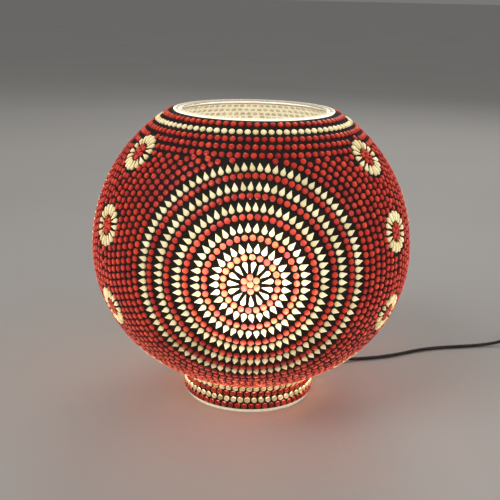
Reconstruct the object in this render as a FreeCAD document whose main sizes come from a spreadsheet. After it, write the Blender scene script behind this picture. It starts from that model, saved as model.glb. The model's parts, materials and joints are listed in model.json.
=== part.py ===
"""Mosaic glass table lamp: a blown glass globe on its own short foot, covered
with round and drop-shaped glass tiles set in black grout, with a lampholder,
a round bulb and a thin flex with a rocker switch and a two-pin plug.

Millimetres. +Z is up, the foot stands on z = 0 and the lamp's axis is Z.
The front medallion faces -Y.
"""
import FreeCAD, Part
import math
import os
import random

import Sketcher

from FreeCAD import Vector

doc = FreeCAD.newDocument("MosaicLamp")
sheet = doc.addObject("Spreadsheet::Sheet", "Sizes")

# --------------------------------------------------------------------------
# Driving dimensions
# --------------------------------------------------------------------------
DIMENSIONS = [
    # globe and foot: outer face of the bare glass
    ("lamp_height", 254.0),
    ("equator_height", 135.8),
    ("equator_radius", 135.2),
    ("upper_arc_radius", 134.6),
    ("lower_arc_radius", 113.4),
    ("glass_wall", 3.0),
    ("floor_thickness", 3.4),
    ("foot_radius", 55.5),
    ("foot_wall", 3.2),
    ("neck_fillet", 20.0),
    ("foot_bead_height", 3.2),
    ("foot_bead_proud", 1.1),
    ("stem_hole_radius", 6.6),
    # mosaic
    ("grout_thickness", 0.8),
    ("tile_thickness", 1.8),
    ("tile_bed", 0.03),
    ("dot_diameter", 5.1),
    ("drop_length", 8.7),
    ("drop_width", 5.0),
    ("petal_length", 9.4),
    ("petal_width", 4.7),
    ("tile_gap", 0.35),
    # threaded stem, nuts and washers
    ("stem_radius", 5.0),
    ("stem_bore", 3.4),
    ("stem_bottom", 13.6),
    ("nut_flats", 14.0),
    ("nut_height", 4.0),
    ("washer_radius", 13.0),
    ("washer_thickness", 1.2),
    ("seal_radius", 14.5),
    ("seal_thickness", 1.5),
    ("thread_clearance", 0.05),
    # lampholder
    ("holder_radius", 19.4),
    ("holder_wall", 2.0),
    ("holder_cap_height", 22.0),
    ("holder_ledge_height", 12.0),
    ("holder_ledge_width", 2.2),
    ("core_height", 11.0),
    ("core_clearance", 0.2),
    ("barrel_wall", 1.6),
    ("barrel_height", 36.0),
    ("barrel_overlap", 7.0),
    ("barrel_lip", 2.4),
    ("screw_shell_radius", 13.4),
    ("screw_shell_wall", 0.5),
    ("screw_shell_height", 22.0),
    ("contact_height", 3.0),
    ("terminal_radius", 1.5),
    ("terminal_head_radius", 3.0),
    ("terminal_head_height", 2.0),
    ("terminal_spacing", 18.0),
    # bulb
    ("bulb_cap_radius", 13.05),
    ("bulb_cap_wall", 0.4),
    ("bulb_cap_height", 19.0),
    ("bulb_tip_height", 1.4),
    ("bulb_insulator_height", 3.6),
    ("bulb_radius", 22.5),
    ("bulb_centre_height", 51.0),
    ("bulb_glass_wall", 0.9),
    ("bulb_seat_gap", 0.1),
    # cord, hole and strain relief
    ("cord_diameter", 3.2),
    ("cord_bearing", 34.0),
    ("cord_hole_height", 9.0),
    ("cord_hole_radius", 3.6),
    ("relief_length", 24.0),
    ("relief_clearance", 0.05),
    ("relief_flange_radius", 5.5),
    ("relief_flange_thickness", 1.6),
    # inline switch
    ("switch_length", 58.0),
    ("switch_width", 24.0),
    ("switch_height", 14.5),
    ("switch_split", 7.5),
    ("switch_wall", 1.8),
    ("switch_x", 305.0),
    ("switch_y", 114.0),
    ("rocker_length", 19.6),
    ("rocker_width", 9.0),
    ("rocker_gap", 0.5),
    ("rocker_tilt", 7.0),
    ("pivot_height", 12.0),
    ("pivot_radius", 1.2),
    ("pivot_clearance", 0.06),
    ("switch_screw_radius", 1.4),
    ("switch_screw_head", 2.6),
    # coil and plug
    ("coil_x", 324.0),
    ("coil_y", 168.0),
    ("coil_radius", 18.0),
    ("coil_columns", 3.0),
    ("coil_layers", 4.0),
    ("coil_pitch", 3.4),
    ("tie_thickness", 0.8),
    ("tie_width", 9.0),
    ("plug_length", 34.0),
    ("plug_width", 30.0),
    ("plug_thickness", 13.6),
    ("plug_y", 238.0),
    ("plug_neck_length", 20.0),
    ("pin_radius", 2.0),
    ("pin_length", 19.0),
    ("pin_spacing", 18.6),
]
for row, (alias, value) in enumerate(DIMENSIONS, start=1):
    sheet.set(f"A{row}", alias)
    sheet.set(f"B{row}", str(value))
    sheet.setAlias(f"B{row}", alias)
doc.recompute()

SIZE = {alias: float(sheet.get(alias)) for alias, value in DIMENSIONS}
nodes = []


def sheet_terms(expression):
    """Write an expression of bare aliases as one that names the sheet."""
    words = []
    word = ""
    for letter in expression + " ":
        if letter.isalnum() or letter in "_.":
            word += letter
            continue
        words.append(f"Sizes.{word}" if word in SIZE else word)
        words.append(letter)
        word = ""
    return "".join(words).strip()


def number(expression):
    """The present value of an expression of aliases."""
    result = sheet.evalExpression(sheet_terms(expression))
    return float(getattr(result, "Value", result))


def keep(feature, label):
    """Name a finished sub-part and list it as a node to write."""
    feature.Label = label
    nodes.append(feature)
    return feature


def bind(feature, **expressions):
    for prop, expression in expressions.items():
        feature.setExpression(prop.replace("__", "."), sheet_terms(expression))
    return feature


def place(feature, x="0", y="0", z="0"):
    feature.setExpression("Placement.Base.x", sheet_terms(x))
    feature.setExpression("Placement.Base.y", sheet_terms(y))
    feature.setExpression("Placement.Base.z", sheet_terms(z))
    return feature


# --------------------------------------------------------------------------
# Building blocks
# --------------------------------------------------------------------------
def origin_plane(body, role):
    return [f for f in body.Origin.OriginFeatures if f.Role == role][0]


def outline_sketch(body, role, corners, arcs):
    """A closed sketch outline. Corners are pairs of expressions; arcs maps the
    corner that a round stretch starts from to (radius, centre across, centre up).
    """
    sketch = body.newObject("Sketcher::SketchObject", body.Name + "_sketch")
    sketch.AttachmentSupport = (origin_plane(body, role), [""])
    sketch.MapMode = "FlatFace"
    points = [Vector(number(a), number(b), 0) for a, b in corners]
    ends = []
    for i, start in enumerate(points):
        stop = points[(i + 1) % len(points)]
        if i not in arcs:
            sketch.addGeometry(Part.LineSegment(start, stop), False)
            ends.append((1, 2))
            continue
        radius, across, up = arcs[i]
        centre = Vector(number(across), number(up), 0)
        circle = Part.Circle(centre, Vector(0, 0, 1), number(radius))
        first = math.atan2(start.y - centre.y, start.x - centre.x)
        last = math.atan2(stop.y - centre.y, stop.x - centre.x)
        turns_left = math.sin(last - first) > 0
        if turns_left:
            sketch.addGeometry(Part.ArcOfCircle(circle, first, last), False)
            ends.append((1, 2))
        else:
            sketch.addGeometry(Part.ArcOfCircle(circle, last, first), False)
            ends.append((2, 1))
    for i in range(len(points)):
        following = (i + 1) % len(points)
        join = Sketcher.Constraint("Coincident", i, ends[i][1], following, ends[following][0])
        sketch.addConstraint(join)
    for i, (a, b) in enumerate(corners):
        for kind, axis, expression in (("DistanceX", -2, a), ("DistanceY", -1, b)):
            if expression == "0":
                sketch.addConstraint(Sketcher.Constraint("PointOnObject", i, ends[i][0], axis))
                continue
            value = number(expression)
            at = sketch.addConstraint(Sketcher.Constraint(kind, -1, 1, i, ends[i][0], value))
            sketch.setExpression(f"Constraints[{at}]", sheet_terms(expression))
    for i, (radius, across, up) in arcs.items():
        at = sketch.addConstraint(Sketcher.Constraint("Radius", i, number(radius)))
        sketch.setExpression(f"Constraints[{at}]", sheet_terms(radius))
    return sketch


def turned(label, corners, arcs=None):
    """A piece turned about the Z axis from an outline of (radius, height)."""
    body = doc.addObject("PartDesign::Body", label + "_body")
    sketch = outline_sketch(body, "XZ_Plane", corners, arcs or {})
    revolution = body.newObject("PartDesign::Revolution", label + "_turn")
    revolution.Profile = sketch
    revolution.ReferenceAxis = (sketch, ["V_Axis"])
    revolution.Angle = 360
    return body


def padded(label, role, corners, height, arcs=None):
    """A flat outline padded to a thickness."""
    body = doc.addObject("PartDesign::Body", label + "_body")
    sketch = outline_sketch(body, role, corners, arcs or {})
    pad = body.newObject("PartDesign::Pad", label + "_pad")
    pad.Profile = sketch
    bind(pad, Length=height)
    return body


def block(name, length, width, height, x, y, z):
    """A box centred on x and y that stands on z."""
    box = doc.addObject("Part::Box", name)
    bind(box, Length=length, Width=width, Height=height)
    return place(box, f"({x}) - ({length}) / 2", f"({y}) - ({width}) / 2", z)


def rod(name, radius, height, x="0", y="0", z="0", direction=Vector(0, 0, 1)):
    """A cylinder that starts at x, y, z and runs along a direction."""
    cylinder = doc.addObject("Part::Cylinder", name)
    bind(cylinder, Radius=radius, Height=height)
    cylinder.Placement = FreeCAD.Placement(Vector(), FreeCAD.Rotation(Vector(0, 0, 1), direction))
    return place(cylinder, x, y, z)


def cut(name, base, *tools):
    """Take tools away from a base, one after another."""
    for i, tool in enumerate(tools):
        feature = doc.addObject("Part::Cut", f"{name}_cut{i}")
        feature.Base = base
        feature.Tool = tool
        base = feature
    return base


def fuse(name, *shapes):
    feature = doc.addObject("Part::MultiFuse", name + "_fuse")
    feature.Shapes = list(shapes)
    feature.Refine = True
    return feature


def group(name, *shapes):
    feature = doc.addObject("Part::Compound", name + "_group")
    feature.Links = list(shapes)
    return feature


def solid_feature(label, shape):
    feature = doc.addObject("Part::Feature", label + "_shape")
    feature.Shape = shape
    feature.Placement = FreeCAD.Placement()
    return keep(feature, label)


# --------------------------------------------------------------------------
# Glass globe with its foot, and the coat of grout
# --------------------------------------------------------------------------
UPPER_CENTRE = "(equator_radius - upper_arc_radius)"
LOWER_CENTRE = "(equator_radius - lower_arc_radius)"
FILLET_CENTRE = "(foot_radius + neck_fillet)"
NECK_REACH = "(lower_arc_radius + neck_fillet)"
FILLET_HEIGHT = (f"(equator_height - sqrt({NECK_REACH} ^ 2"
                 f" - ({FILLET_CENTRE} - {LOWER_CENTRE}) ^ 2))")
BEAD_CENTRE = "(foot_radius + foot_bead_proud - foot_bead_height / 2)"
BEAD_TOP = (f"foot_bead_height / 2 + sqrt((foot_bead_height / 2) ^ 2"
            f" - (foot_radius - {BEAD_CENTRE}) ^ 2)")
FLOOR_TOP = "(equator_height - lower_arc_radius + glass_wall)"
FLOOR_UNDER = f"({FLOOR_TOP} - floor_thickness)"


def rim_radius(offset):
    reach = f"(upper_arc_radius + ({offset}))"
    return f"{UPPER_CENTRE} + sqrt({reach} ^ 2 - (lamp_height - equator_height) ^ 2)"


def neck_point(offset):
    """Where the foot's fillet meets the globe, on a face offset outwards."""
    share = f"((lower_arc_radius + ({offset})) / {NECK_REACH})"
    across = f"{LOWER_CENTRE} + ({FILLET_CENTRE} - {LOWER_CENTRE}) * {share}"
    up = f"equator_height - (equator_height - {FILLET_HEIGHT}) * {share}"
    return across, up


def make_globe():
    wall = "glass_wall"
    corners = [
        ("stem_hole_radius", FLOOR_UNDER),
        ("foot_radius - foot_wall", FLOOR_UNDER),
        ("foot_radius - foot_wall", "0"),
        (BEAD_CENTRE, "0"),
        ("foot_radius", BEAD_TOP),
        ("foot_radius", FILLET_HEIGHT),
        neck_point("0"),
        ("equator_radius", "equator_height"),
        (rim_radius("0"), "lamp_height"),
        (rim_radius(f"0 - {wall}"), "lamp_height"),
        (f"equator_radius - {wall}", "equator_height"),
        (LOWER_CENTRE, FLOOR_TOP),
        ("stem_hole_radius", FLOOR_TOP),
    ]
    arcs = {
        3: ("foot_bead_height / 2", BEAD_CENTRE, "foot_bead_height / 2"),
        5: ("neck_fillet", FILLET_CENTRE, FILLET_HEIGHT),
        6: ("lower_arc_radius", LOWER_CENTRE, "equator_height"),
        7: ("upper_arc_radius", UPPER_CENTRE, "equator_height"),
        9: (f"upper_arc_radius - {wall}", UPPER_CENTRE, "equator_height"),
        10: (f"lower_arc_radius - {wall}", LOWER_CENTRE, "equator_height"),
    }
    globe = turned("glass_globe", corners, arcs)
    hole = rod("cord_hole", "cord_hole_radius", "foot_radius", z="cord_hole_height",
               direction=bearing_vector())
    return keep(cut("glass_globe", globe, hole), "glass_globe")


def make_grout():
    thick = "grout_thickness"
    corners = [
        ("foot_radius", "foot_bead_height"),
        (f"foot_radius + {thick}", "foot_bead_height"),
        (f"foot_radius + {thick}", FILLET_HEIGHT),
        neck_point(thick),
        (f"equator_radius + {thick}", "equator_height"),
        (rim_radius(thick), "lamp_height"),
        (rim_radius("0"), "lamp_height"),
        ("equator_radius", "equator_height"),
        neck_point("0"),
        ("foot_radius", FILLET_HEIGHT),
    ]
    arcs = {
        2: (f"neck_fillet - {thick}", FILLET_CENTRE, FILLET_HEIGHT),
        3: (f"lower_arc_radius + {thick}", LOWER_CENTRE, "equator_height"),
        4: (f"upper_arc_radius + {thick}", UPPER_CENTRE, "equator_height"),
        6: ("upper_arc_radius", UPPER_CENTRE, "equator_height"),
        7: ("lower_arc_radius", LOWER_CENTRE, "equator_height"),
        8: ("neck_fillet", FILLET_CENTRE, FILLET_HEIGHT),
    }
    skin = turned("grout_skin", corners, arcs)
    hole = rod("grout_cord_hole", "relief_flange_radius + 0.4", "foot_radius * 2",
               z="cord_hole_height", direction=bearing_vector())
    return keep(cut("grout_skin", skin, hole), "grout_skin")


def bearing_vector():
    bearing = math.radians(SIZE["cord_bearing"])
    return Vector(math.cos(bearing), math.sin(bearing), 0)


# --------------------------------------------------------------------------
# Mosaic: where each tile lies
# --------------------------------------------------------------------------
ROWS_FROM_FOOT = [(6.1, "red"), (11.8, "cream"), (17.5, "red"), (23.4, "cream"),
                  (29.4, "red"), (35.4, "red"), (41.6, "red"), (47.8, "red")]
ROWS_FROM_RIM = [(5.6, "red"), (13.8, "cream"), (21.6, "red"), (29.3, "red"), (37.0, "red")]
ROW_PITCH = 6.1
MEDALLION_BEARINGS = (0.0, 120.0, 240.0)
MEDALLION_RISE = 2.6
FLOWER_BEARINGS = (60.0, 180.0, 300.0)
FLOWER_RISES = (40.0, 13.0, -16.5, -44.0)
FLOWER_DOTS = 6
MEDALLION_PETALS = 15
FLOWER_PETALS = 17
PETAL_TIP_RADIUS = 7.7
DOT_RINGS = [(20.4, 22), (34.6, 37), (49.9, 54), (65.8, 70), (81.7, 87)]
DROP_RINGS = [(27.4, 28), (42.3, 43), (57.9, 59), (73.8, 74), (89.6, 88)]
FIELD_START = 97.3
FIELD_PITCH = 6.9
FIELD_DOT_PITCH = 5.8
FIELD_REACH = 200.0
SEARCH_STEP = 1.2
HAND = random.Random(11)


class TileFace:
    """The face that the tiles' tops lie on, as a turned profile above the glass."""

    def __init__(self):
        self.top = SIZE["grout_thickness"] + SIZE["tile_thickness"]
        self.middle = SIZE["equator_height"]
        self.wall_radius = SIZE["foot_radius"] + self.top
        self.fillet_start = number(FILLET_HEIGHT)
        self.fillet_centre = number(FILLET_CENTRE)
        self.fillet = SIZE["neck_fillet"] - self.top
        self.lower_centre = number(LOWER_CENTRE)
        self.lower = SIZE["lower_arc_radius"] + self.top
        self.upper_centre = number(UPPER_CENTRE)
        self.upper = SIZE["upper_arc_radius"] + self.top
        across = self.fillet_centre - self.lower_centre
        self.neck_turn = math.acos(across / number(NECK_REACH))
        self.rim_turn = math.asin((SIZE["lamp_height"] - self.middle) / self.upper)
        self.lengths = (self.fillet_start, self.fillet * self.neck_turn,
                        self.lower * self.neck_turn, self.upper * self.rim_turn)
        self.length = sum(self.lengths)

    def at_run(self, run):
        """Radius, height and outward normal at a length along the profile."""
        wall, fillet, lower, upper = self.lengths
        if run < wall:
            return self.wall_radius, run, 1.0, 0.0
        run -= wall
        if run < fillet:
            turn = run / self.fillet
            radius = self.fillet_centre - self.fillet * math.cos(turn)
            height = self.fillet_start + self.fillet * math.sin(turn)
            return radius, height, math.cos(turn), -math.sin(turn)
        run -= fillet
        if run < lower:
            return self.on_arc(self.lower_centre, self.lower, run / self.lower - self.neck_turn)
        return self.on_arc(self.upper_centre, self.upper, (run - lower) / self.upper)

    def on_arc(self, centre, radius, turn):
        across = math.cos(turn)
        up = math.sin(turn)
        return centre + radius * across, self.middle + radius * up, across, up

    def towards(self, direction):
        """The spot that a ray from the globe's middle meets, or None off the globe."""
        across = math.hypot(direction.x, direction.y)
        rise = math.atan2(direction.z, across)
        centre, radius = (self.upper_centre, self.upper)
        if rise < 0:
            centre, radius = (self.lower_centre, self.lower)
        reach = centre * math.cos(rise)
        reach += math.sqrt(radius ** 2 - (centre * math.sin(rise)) ** 2)
        turn = math.asin(reach * math.sin(rise) / radius)
        if turn > self.rim_turn or turn < -self.neck_turn:
            return None
        return spot(self.on_arc(centre, radius, turn), math.atan2(direction.x, -direction.y))


def spot(profile_point, bearing):
    """A point and a normal in space; a bearing of zero is the lamp's front."""
    radius, height, across, up = profile_point
    outward = Vector(math.sin(bearing), -math.cos(bearing), 0)
    point = outward * radius + Vector(0, 0, height)
    return point, outward * across + Vector(0, 0, up)


def direction_at(bearing, rise):
    bearing = math.radians(bearing)
    rise = math.radians(rise)
    level = math.cos(rise)
    return Vector(level * math.sin(bearing), -level * math.cos(bearing), math.sin(rise))


class Mosaic:
    """Lays tiles one by one and keeps those that clear every tile before them."""

    CELL = 12.0

    def __init__(self, face):
        self.face = face
        self.tiles = []
        self.cells = {}
        self.dot_radius = SIZE["dot_diameter"] / 2
        outer = face.at_run(SIZE["cord_hole_height"])[0]
        hole = bearing_vector() * outer + Vector(0, 0, SIZE["cord_hole_height"])
        self.mark(hole, SIZE["relief_flange_radius"] + SIZE["tile_gap"])
        self.low = SIZE["foot_bead_height"] + 0.2
        self.high = SIZE["lamp_height"] - 0.2

    def cell_of(self, point):
        return tuple(math.floor(c / self.CELL) for c in (point.x, point.y, point.z))

    def mark(self, point, radius):
        self.cells.setdefault(self.cell_of(point), []).append((point, radius))

    def clear(self, point, radius, gap):
        a, b, c = self.cell_of(point)
        for i in (a - 1, a, a + 1):
            for j in (b - 1, b, b + 1):
                for k in (c - 1, c, c + 1):
                    for other, reach in self.cells.get((i, j, k), ()):
                        if (point - other).Length < radius + reach + gap:
                            return False
        return True

    def dot(self, place_at, colour, gap):
        if place_at is None:
            return False
        point, normal = place_at
        edge = self.dot_radius * math.hypot(normal.x, normal.y)
        if point.z - edge < self.low or point.z + edge > self.high:
            return False
        if not self.clear(point, self.dot_radius, gap):
            return False
        self.mark(point, self.dot_radius)
        self.tiles.append((colour + "_round", point, normal, None, 0, 0))
        return True

    def tear_circles(self, point, tip, length, width):
        """Three circles that stand for a tear-shaped tile, from its round end to its tip."""
        half = width / 2
        return [(point - tip * (length / 2 - half), half),
                (point + tip * (length * 0.12), half * 0.72),
                (point + tip * (length / 2 - 1.0), 0.8)]

    def drop(self, place_at, tip, kind, length, width):
        point, normal = place_at
        circles = self.tear_circles(point, tip, length, width)
        if not all(self.clear(centre, radius, 0.05) for centre, radius in circles):
            return
        for centre, radius in circles:
            self.mark(centre, radius)
        self.tiles.append((kind, point, normal, tip, length, width))

    def row(self, run, colour):
        profile_point = self.face.at_run(run)
        count = round(2 * math.pi * profile_point[0] / ROW_PITCH)
        start = HAND.uniform(0, 2 * math.pi)
        for i in range(count):
            bearing = start + 2 * math.pi * i / count
            self.dot(spot(profile_point, bearing), colour, 0.05)

    def ring_spots(self, middle, radius, count, start=0.0):
        """Spots on a circle about a direction, each with its outward tangent."""
        side = middle.cross(Vector(0, 0, 1)).normalize()
        over = side.cross(middle)
        turn = radius / self.face.upper
        found = []
        for i in range(count):
            around = start + 2 * math.pi * i / count
            sideways = side * math.cos(around) + over * math.sin(around)
            place_at = self.face.towards(middle * math.cos(turn) + sideways * math.sin(turn))
            if place_at is None:
                found.append((None, None))
                continue
            point, normal = place_at
            outward = sideways * math.cos(turn) - middle * math.sin(turn)
            tangent = (outward - normal * outward.dot(normal)).normalize()
            found.append((place_at, tangent))
        return found

    def flower(self, middle, petals):
        """Seven dots and a ring of petals with their tips inwards."""
        self.dot(self.face.towards(middle), "red", 0.0)
        start = HAND.uniform(0, 1)
        dot_ring = SIZE["dot_diameter"] + 0.2
        for place_at, tangent in self.ring_spots(middle, dot_ring, FLOWER_DOTS, start):
            self.dot(place_at, "red", 0.0)
        length = SIZE["petal_length"]
        petal_ring = PETAL_TIP_RADIUS + length / 2
        for place_at, tangent in self.ring_spots(middle, petal_ring, petals, start):
            self.petal(place_at, tangent * -1, length, SIZE["petal_width"])

    def petal(self, place_at, tip, length, width):
        point, normal = place_at
        self.tiles.append(("cream_petal", point, normal, tip, length, width))
        for centre, radius in self.tear_circles(point, tip, length, width):
            self.mark(centre, radius)

    def rings(self, middle):
        """A medallion's rings of dots and drops, laid round its flower."""
        for radius, count in DOT_RINGS:
            for place_at, tangent in self.ring_spots(middle, radius, count, HAND.uniform(0, 1)):
                self.dot(place_at, "red", 0.0)
        for radius, count in DROP_RINGS:
            for place_at, tangent in self.ring_spots(middle, radius, count, HAND.uniform(0, 1)):
                if place_at is None:
                    continue
                lean = math.radians(HAND.uniform(-9, 9))
                across = place_at[1].cross(tangent)
                tip = tangent * math.cos(lean) + across * math.sin(lean)
                length = SIZE["drop_length"] * HAND.uniform(0.93, 1.0)
                width = SIZE["drop_width"] * HAND.uniform(0.94, 1.03)
                self.drop(place_at, tip, "cream_drop", length, width)

    def field(self, bearing):
        """Red arcs that carry on round a medallion until the next one's field."""
        middle = direction_at(bearing, MEDALLION_RISE)
        radius = FIELD_START
        while radius < FIELD_REACH:
            turn = radius / self.face.upper
            count = round(2 * math.pi * self.face.upper * math.sin(turn) / FIELD_DOT_PITCH)
            for place_at, tangent in self.ring_spots(middle, radius, count, HAND.uniform(0, 1)):
                if place_at is None:
                    continue
                point = place_at[0]
                own = math.degrees(math.atan2(point.x, -point.y)) - bearing
                own = (own + 180) % 360 - 180
                if abs(own) <= 60:
                    self.dot(place_at, "red", SIZE["tile_gap"])
            radius += FIELD_PITCH

    def fill(self):
        """Red dots wherever a whole one still fits."""
        run = ROWS_FROM_FOOT[-1][0]
        while run < self.face.length - ROWS_FROM_RIM[1][0]:
            profile_point = self.face.at_run(run)
            count = round(2 * math.pi * profile_point[0] / SEARCH_STEP)
            for i in range(count):
                self.dot(spot(profile_point, 2 * math.pi * i / count), "red", SIZE["tile_gap"])
            run += SEARCH_STEP


def lay_mosaic():
    mosaic = Mosaic(TileFace())
    middles = [direction_at(bearing, MEDALLION_RISE) for bearing in MEDALLION_BEARINGS]
    for middle in middles:
        mosaic.flower(middle, MEDALLION_PETALS)
    for bearing in FLOWER_BEARINGS:
        for rise in FLOWER_RISES:
            mosaic.flower(direction_at(bearing, rise), FLOWER_PETALS)
    for run, colour in ROWS_FROM_FOOT[:4]:
        mosaic.row(run, colour)
    for run, colour in ROWS_FROM_RIM:
        mosaic.row(mosaic.face.length - run, colour)
    for middle in middles:
        mosaic.rings(middle)
    for run, colour in ROWS_FROM_FOOT[4:]:
        mosaic.row(run, colour)
    for bearing in MEDALLION_BEARINGS:
        mosaic.field(bearing)
    mosaic.fill()
    return mosaic


def tile_base(point, normal, reach):
    """Where a flat tile's underside rests, lifted where the bed is hollow."""
    lift = SIZE["tile_bed"]
    if normal.z < 0 and point.z < number(neck_point("0")[1]) + reach:
        lift += reach ** 2 / (2 * (SIZE["neck_fillet"] - SIZE["grout_thickness"]))
    return point + normal * (lift - SIZE["tile_thickness"])


def round_tile(mosaic, tile):
    kind, point, normal, tip, length, width = tile
    radius = mosaic.dot_radius * HAND.uniform(0.95, 1.0)
    base = tile_base(point, normal, radius)
    return Part.makeCylinder(radius, SIZE["tile_thickness"], base, normal)


def drop_tile(mosaic, tile):
    """A round end and two straight sides that meet in a blunt tip."""
    kind, point, normal, tip, length, width = tile
    half = width / 2
    across = normal.cross(tip)
    base = tile_base(point, normal, length / 2)
    centre = base - tip * (length / 2 - half)
    reach = length - half
    lean = math.asin(half / reach)
    left = centre + across * (half * math.cos(lean)) + tip * (half * math.sin(lean))
    right = centre - across * (half * math.cos(lean)) + tip * (half * math.sin(lean))
    heel = centre - tip * half
    point_end = centre + tip * reach
    nose = 0.12
    nose_left = left + (point_end - left) * (1 - nose)
    nose_right = right + (point_end - right) * (1 - nose)
    edges = [Part.Arc(left, heel, right).toShape(),
             Part.makeLine(right, nose_right),
             Part.makeLine(nose_right, nose_left),
             Part.makeLine(nose_left, left)]
    return Part.Face(Part.Wire(edges)).extrude(normal * SIZE["tile_thickness"])


def make_tiles():
    mosaic = lay_mosaic()
    kinds = [("red_round", "red_round_tiles", round_tile),
             ("cream_round", "cream_round_tiles", round_tile),
             ("cream_drop", "cream_drop_tiles", drop_tile),
             ("cream_petal", "cream_petal_tiles", drop_tile)]
    for kind, label, shape_of in kinds:
        solids = [shape_of(mosaic, tile) for tile in mosaic.tiles if tile[0] == kind]
        print(label, len(solids))
        solid_feature(label, Part.makeCompound(solids))


# --------------------------------------------------------------------------
# Threaded stem, nuts and washers that clamp the lampholder to the glass floor
# --------------------------------------------------------------------------
UPPER_WASHER = f"({FLOOR_TOP} + seal_thickness)"
HOLDER_BASE = f"({UPPER_WASHER} + washer_thickness)"
LOWER_SEAL = f"({FLOOR_UNDER} - seal_thickness)"
LOWER_WASHER = f"({LOWER_SEAL} - washer_thickness)"
LOWER_NUT = f"({LOWER_WASHER} - nut_height)"
CLEAR_OF_STEM = "(stem_radius + thread_clearance)"
HOLDER_FLOOR = f"({HOLDER_BASE} + holder_wall)"
UPPER_NUT_TOP = f"({HOLDER_FLOOR} + nut_height)"
CORE_BASE = f"({HOLDER_BASE} + holder_ledge_height)"
CORE_TOP = f"({CORE_BASE} + core_height)"
CONTACT_TOP = f"({CORE_TOP} + contact_height)"


def ring(label, inner, outer, low, high):
    return turned(label, [(inner, low), (outer, low), (outer, high), (inner, high)])


def nut(label, low):
    blank = doc.addObject("Part::Prism", label + "_blank")
    blank.Polygon = 6
    bind(blank, Circumradius="nut_flats / 2 / cos(30deg)", Height="nut_height")
    place(blank, z=low)
    bore = rod(label + "_bore", CLEAR_OF_STEM, "nut_height * 3", z=f"{low} - nut_height")
    return keep(cut(label, blank, bore), label)


def make_stem():
    stem_top = f"{UPPER_NUT_TOP} + 1.0"
    keep(ring("threaded_stem", "stem_bore", "stem_radius", "stem_bottom", stem_top),
         "threaded_stem")
    for label, low in (("upper_seal", FLOOR_TOP), ("lower_seal", LOWER_SEAL)):
        keep(ring(label, CLEAR_OF_STEM, "seal_radius", low, f"{low} + seal_thickness"), label)
    for label, low in (("upper_washer", UPPER_WASHER), ("lower_washer", LOWER_WASHER)):
        keep(ring(label, CLEAR_OF_STEM, "washer_radius", low, f"{low} + washer_thickness"), label)
    nut("lower_nut", LOWER_NUT)
    nut("upper_nut", HOLDER_FLOOR)


# --------------------------------------------------------------------------
# Lampholder
# --------------------------------------------------------------------------
def make_lampholder():
    cap_inside = "holder_radius - holder_wall"
    cap_top = f"{HOLDER_BASE} + holder_cap_height"
    keep(turned("holder_cap", [
        (CLEAR_OF_STEM, HOLDER_BASE),
        ("holder_radius", HOLDER_BASE),
        ("holder_radius", cap_top),
        (cap_inside, cap_top),
        (cap_inside, CORE_BASE),
        (f"{cap_inside} - holder_ledge_width", CORE_BASE),
        (f"{cap_inside} - holder_ledge_width", HOLDER_FLOOR),
        (CLEAR_OF_STEM, HOLDER_FLOOR),
    ]), "holder_cap")

    core = ring("holder_core_blank", "stem_bore", f"{cap_inside} - core_clearance",
                CORE_BASE, CORE_TOP)
    screw_holes = [rod(f"core_hole{i}", "terminal_radius + thread_clearance", "core_height * 3",
                       x=f"{side} * terminal_spacing / 2", z=f"{CORE_BASE} - core_height")
                   for i, side in enumerate((-1, 1))]
    keep(cut("holder_core", core, *screw_holes), "holder_core")

    screws = []
    for i, side in enumerate((-1, 1)):
        across = f"{side} * terminal_spacing / 2"
        shank = rod(f"terminal_shank{i}", "terminal_radius", "core_height * 0.7",
                    x=across, z=CORE_BASE)
        head = rod(f"terminal_head{i}", "terminal_head_radius", "terminal_head_height",
                   x=across, z=f"{CORE_BASE} - terminal_head_height")
        slot = block(f"terminal_slot{i}", "terminal_head_radius * 2.4", "0.8", "0.7",
                     across, "0", f"{CORE_BASE} - terminal_head_height")
        screws.append(cut(f"terminal{i}", fuse(f"terminal{i}", shank, head), slot))
    keep(group("terminal_screws", *screws), "terminal_screws")

    keep(turned("centre_contact", [
        ("0", CORE_TOP),
        ("4.6", CORE_TOP),
        ("4.6", f"{CORE_TOP} + 0.8"),
        ("2.4", f"{CORE_TOP} + 1.2"),
        ("2.4", f"{CONTACT_TOP} - 0.4"),
        ("1.8", CONTACT_TOP),
        ("0", CONTACT_TOP),
    ]), "centre_contact")

    shell_top = f"{CORE_TOP} + screw_shell_height"
    keep(turned("screw_shell", [
        ("screw_shell_radius - 4", CORE_TOP),
        ("screw_shell_radius + screw_shell_wall", CORE_TOP),
        ("screw_shell_radius + screw_shell_wall", shell_top),
        ("screw_shell_radius", shell_top),
        ("screw_shell_radius", f"{CORE_TOP} + screw_shell_wall"),
        ("screw_shell_radius - 4", f"{CORE_TOP} + screw_shell_wall"),
    ]), "screw_shell")

    barrel_base = f"{cap_top} - barrel_overlap"
    barrel_inside = "holder_radius + thread_clearance"
    barrel_top = f"{barrel_base} + barrel_height"
    mouth = "(screw_shell_radius + screw_shell_wall + 0.4)"
    keep(turned("holder_barrel", [
        (barrel_inside, barrel_base),
        (f"{barrel_inside} + barrel_wall", barrel_base),
        (f"{barrel_inside} + barrel_wall", f"{barrel_top} - 1.5"),
        (f"{barrel_inside} + barrel_wall - 1.5", barrel_top),
        (mouth, barrel_top),
        (mouth, f"{barrel_top} - barrel_lip"),
        (barrel_inside, f"{barrel_top} - barrel_lip"),
    ]), "holder_barrel")


# --------------------------------------------------------------------------
# Bulb
# --------------------------------------------------------------------------
BULB_BASE = f"({CONTACT_TOP} + bulb_seat_gap)"
BULB_INSULATOR = f"({BULB_BASE} + bulb_tip_height)"
BULB_CAP = f"({BULB_INSULATOR} + bulb_insulator_height)"
BULB_CAP_TOP = f"({BULB_CAP} + bulb_cap_height)"
BULB_CENTRE = f"({BULB_BASE} + bulb_centre_height)"
BULB_NECK = "(bulb_cap_radius - bulb_cap_wall)"


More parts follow.
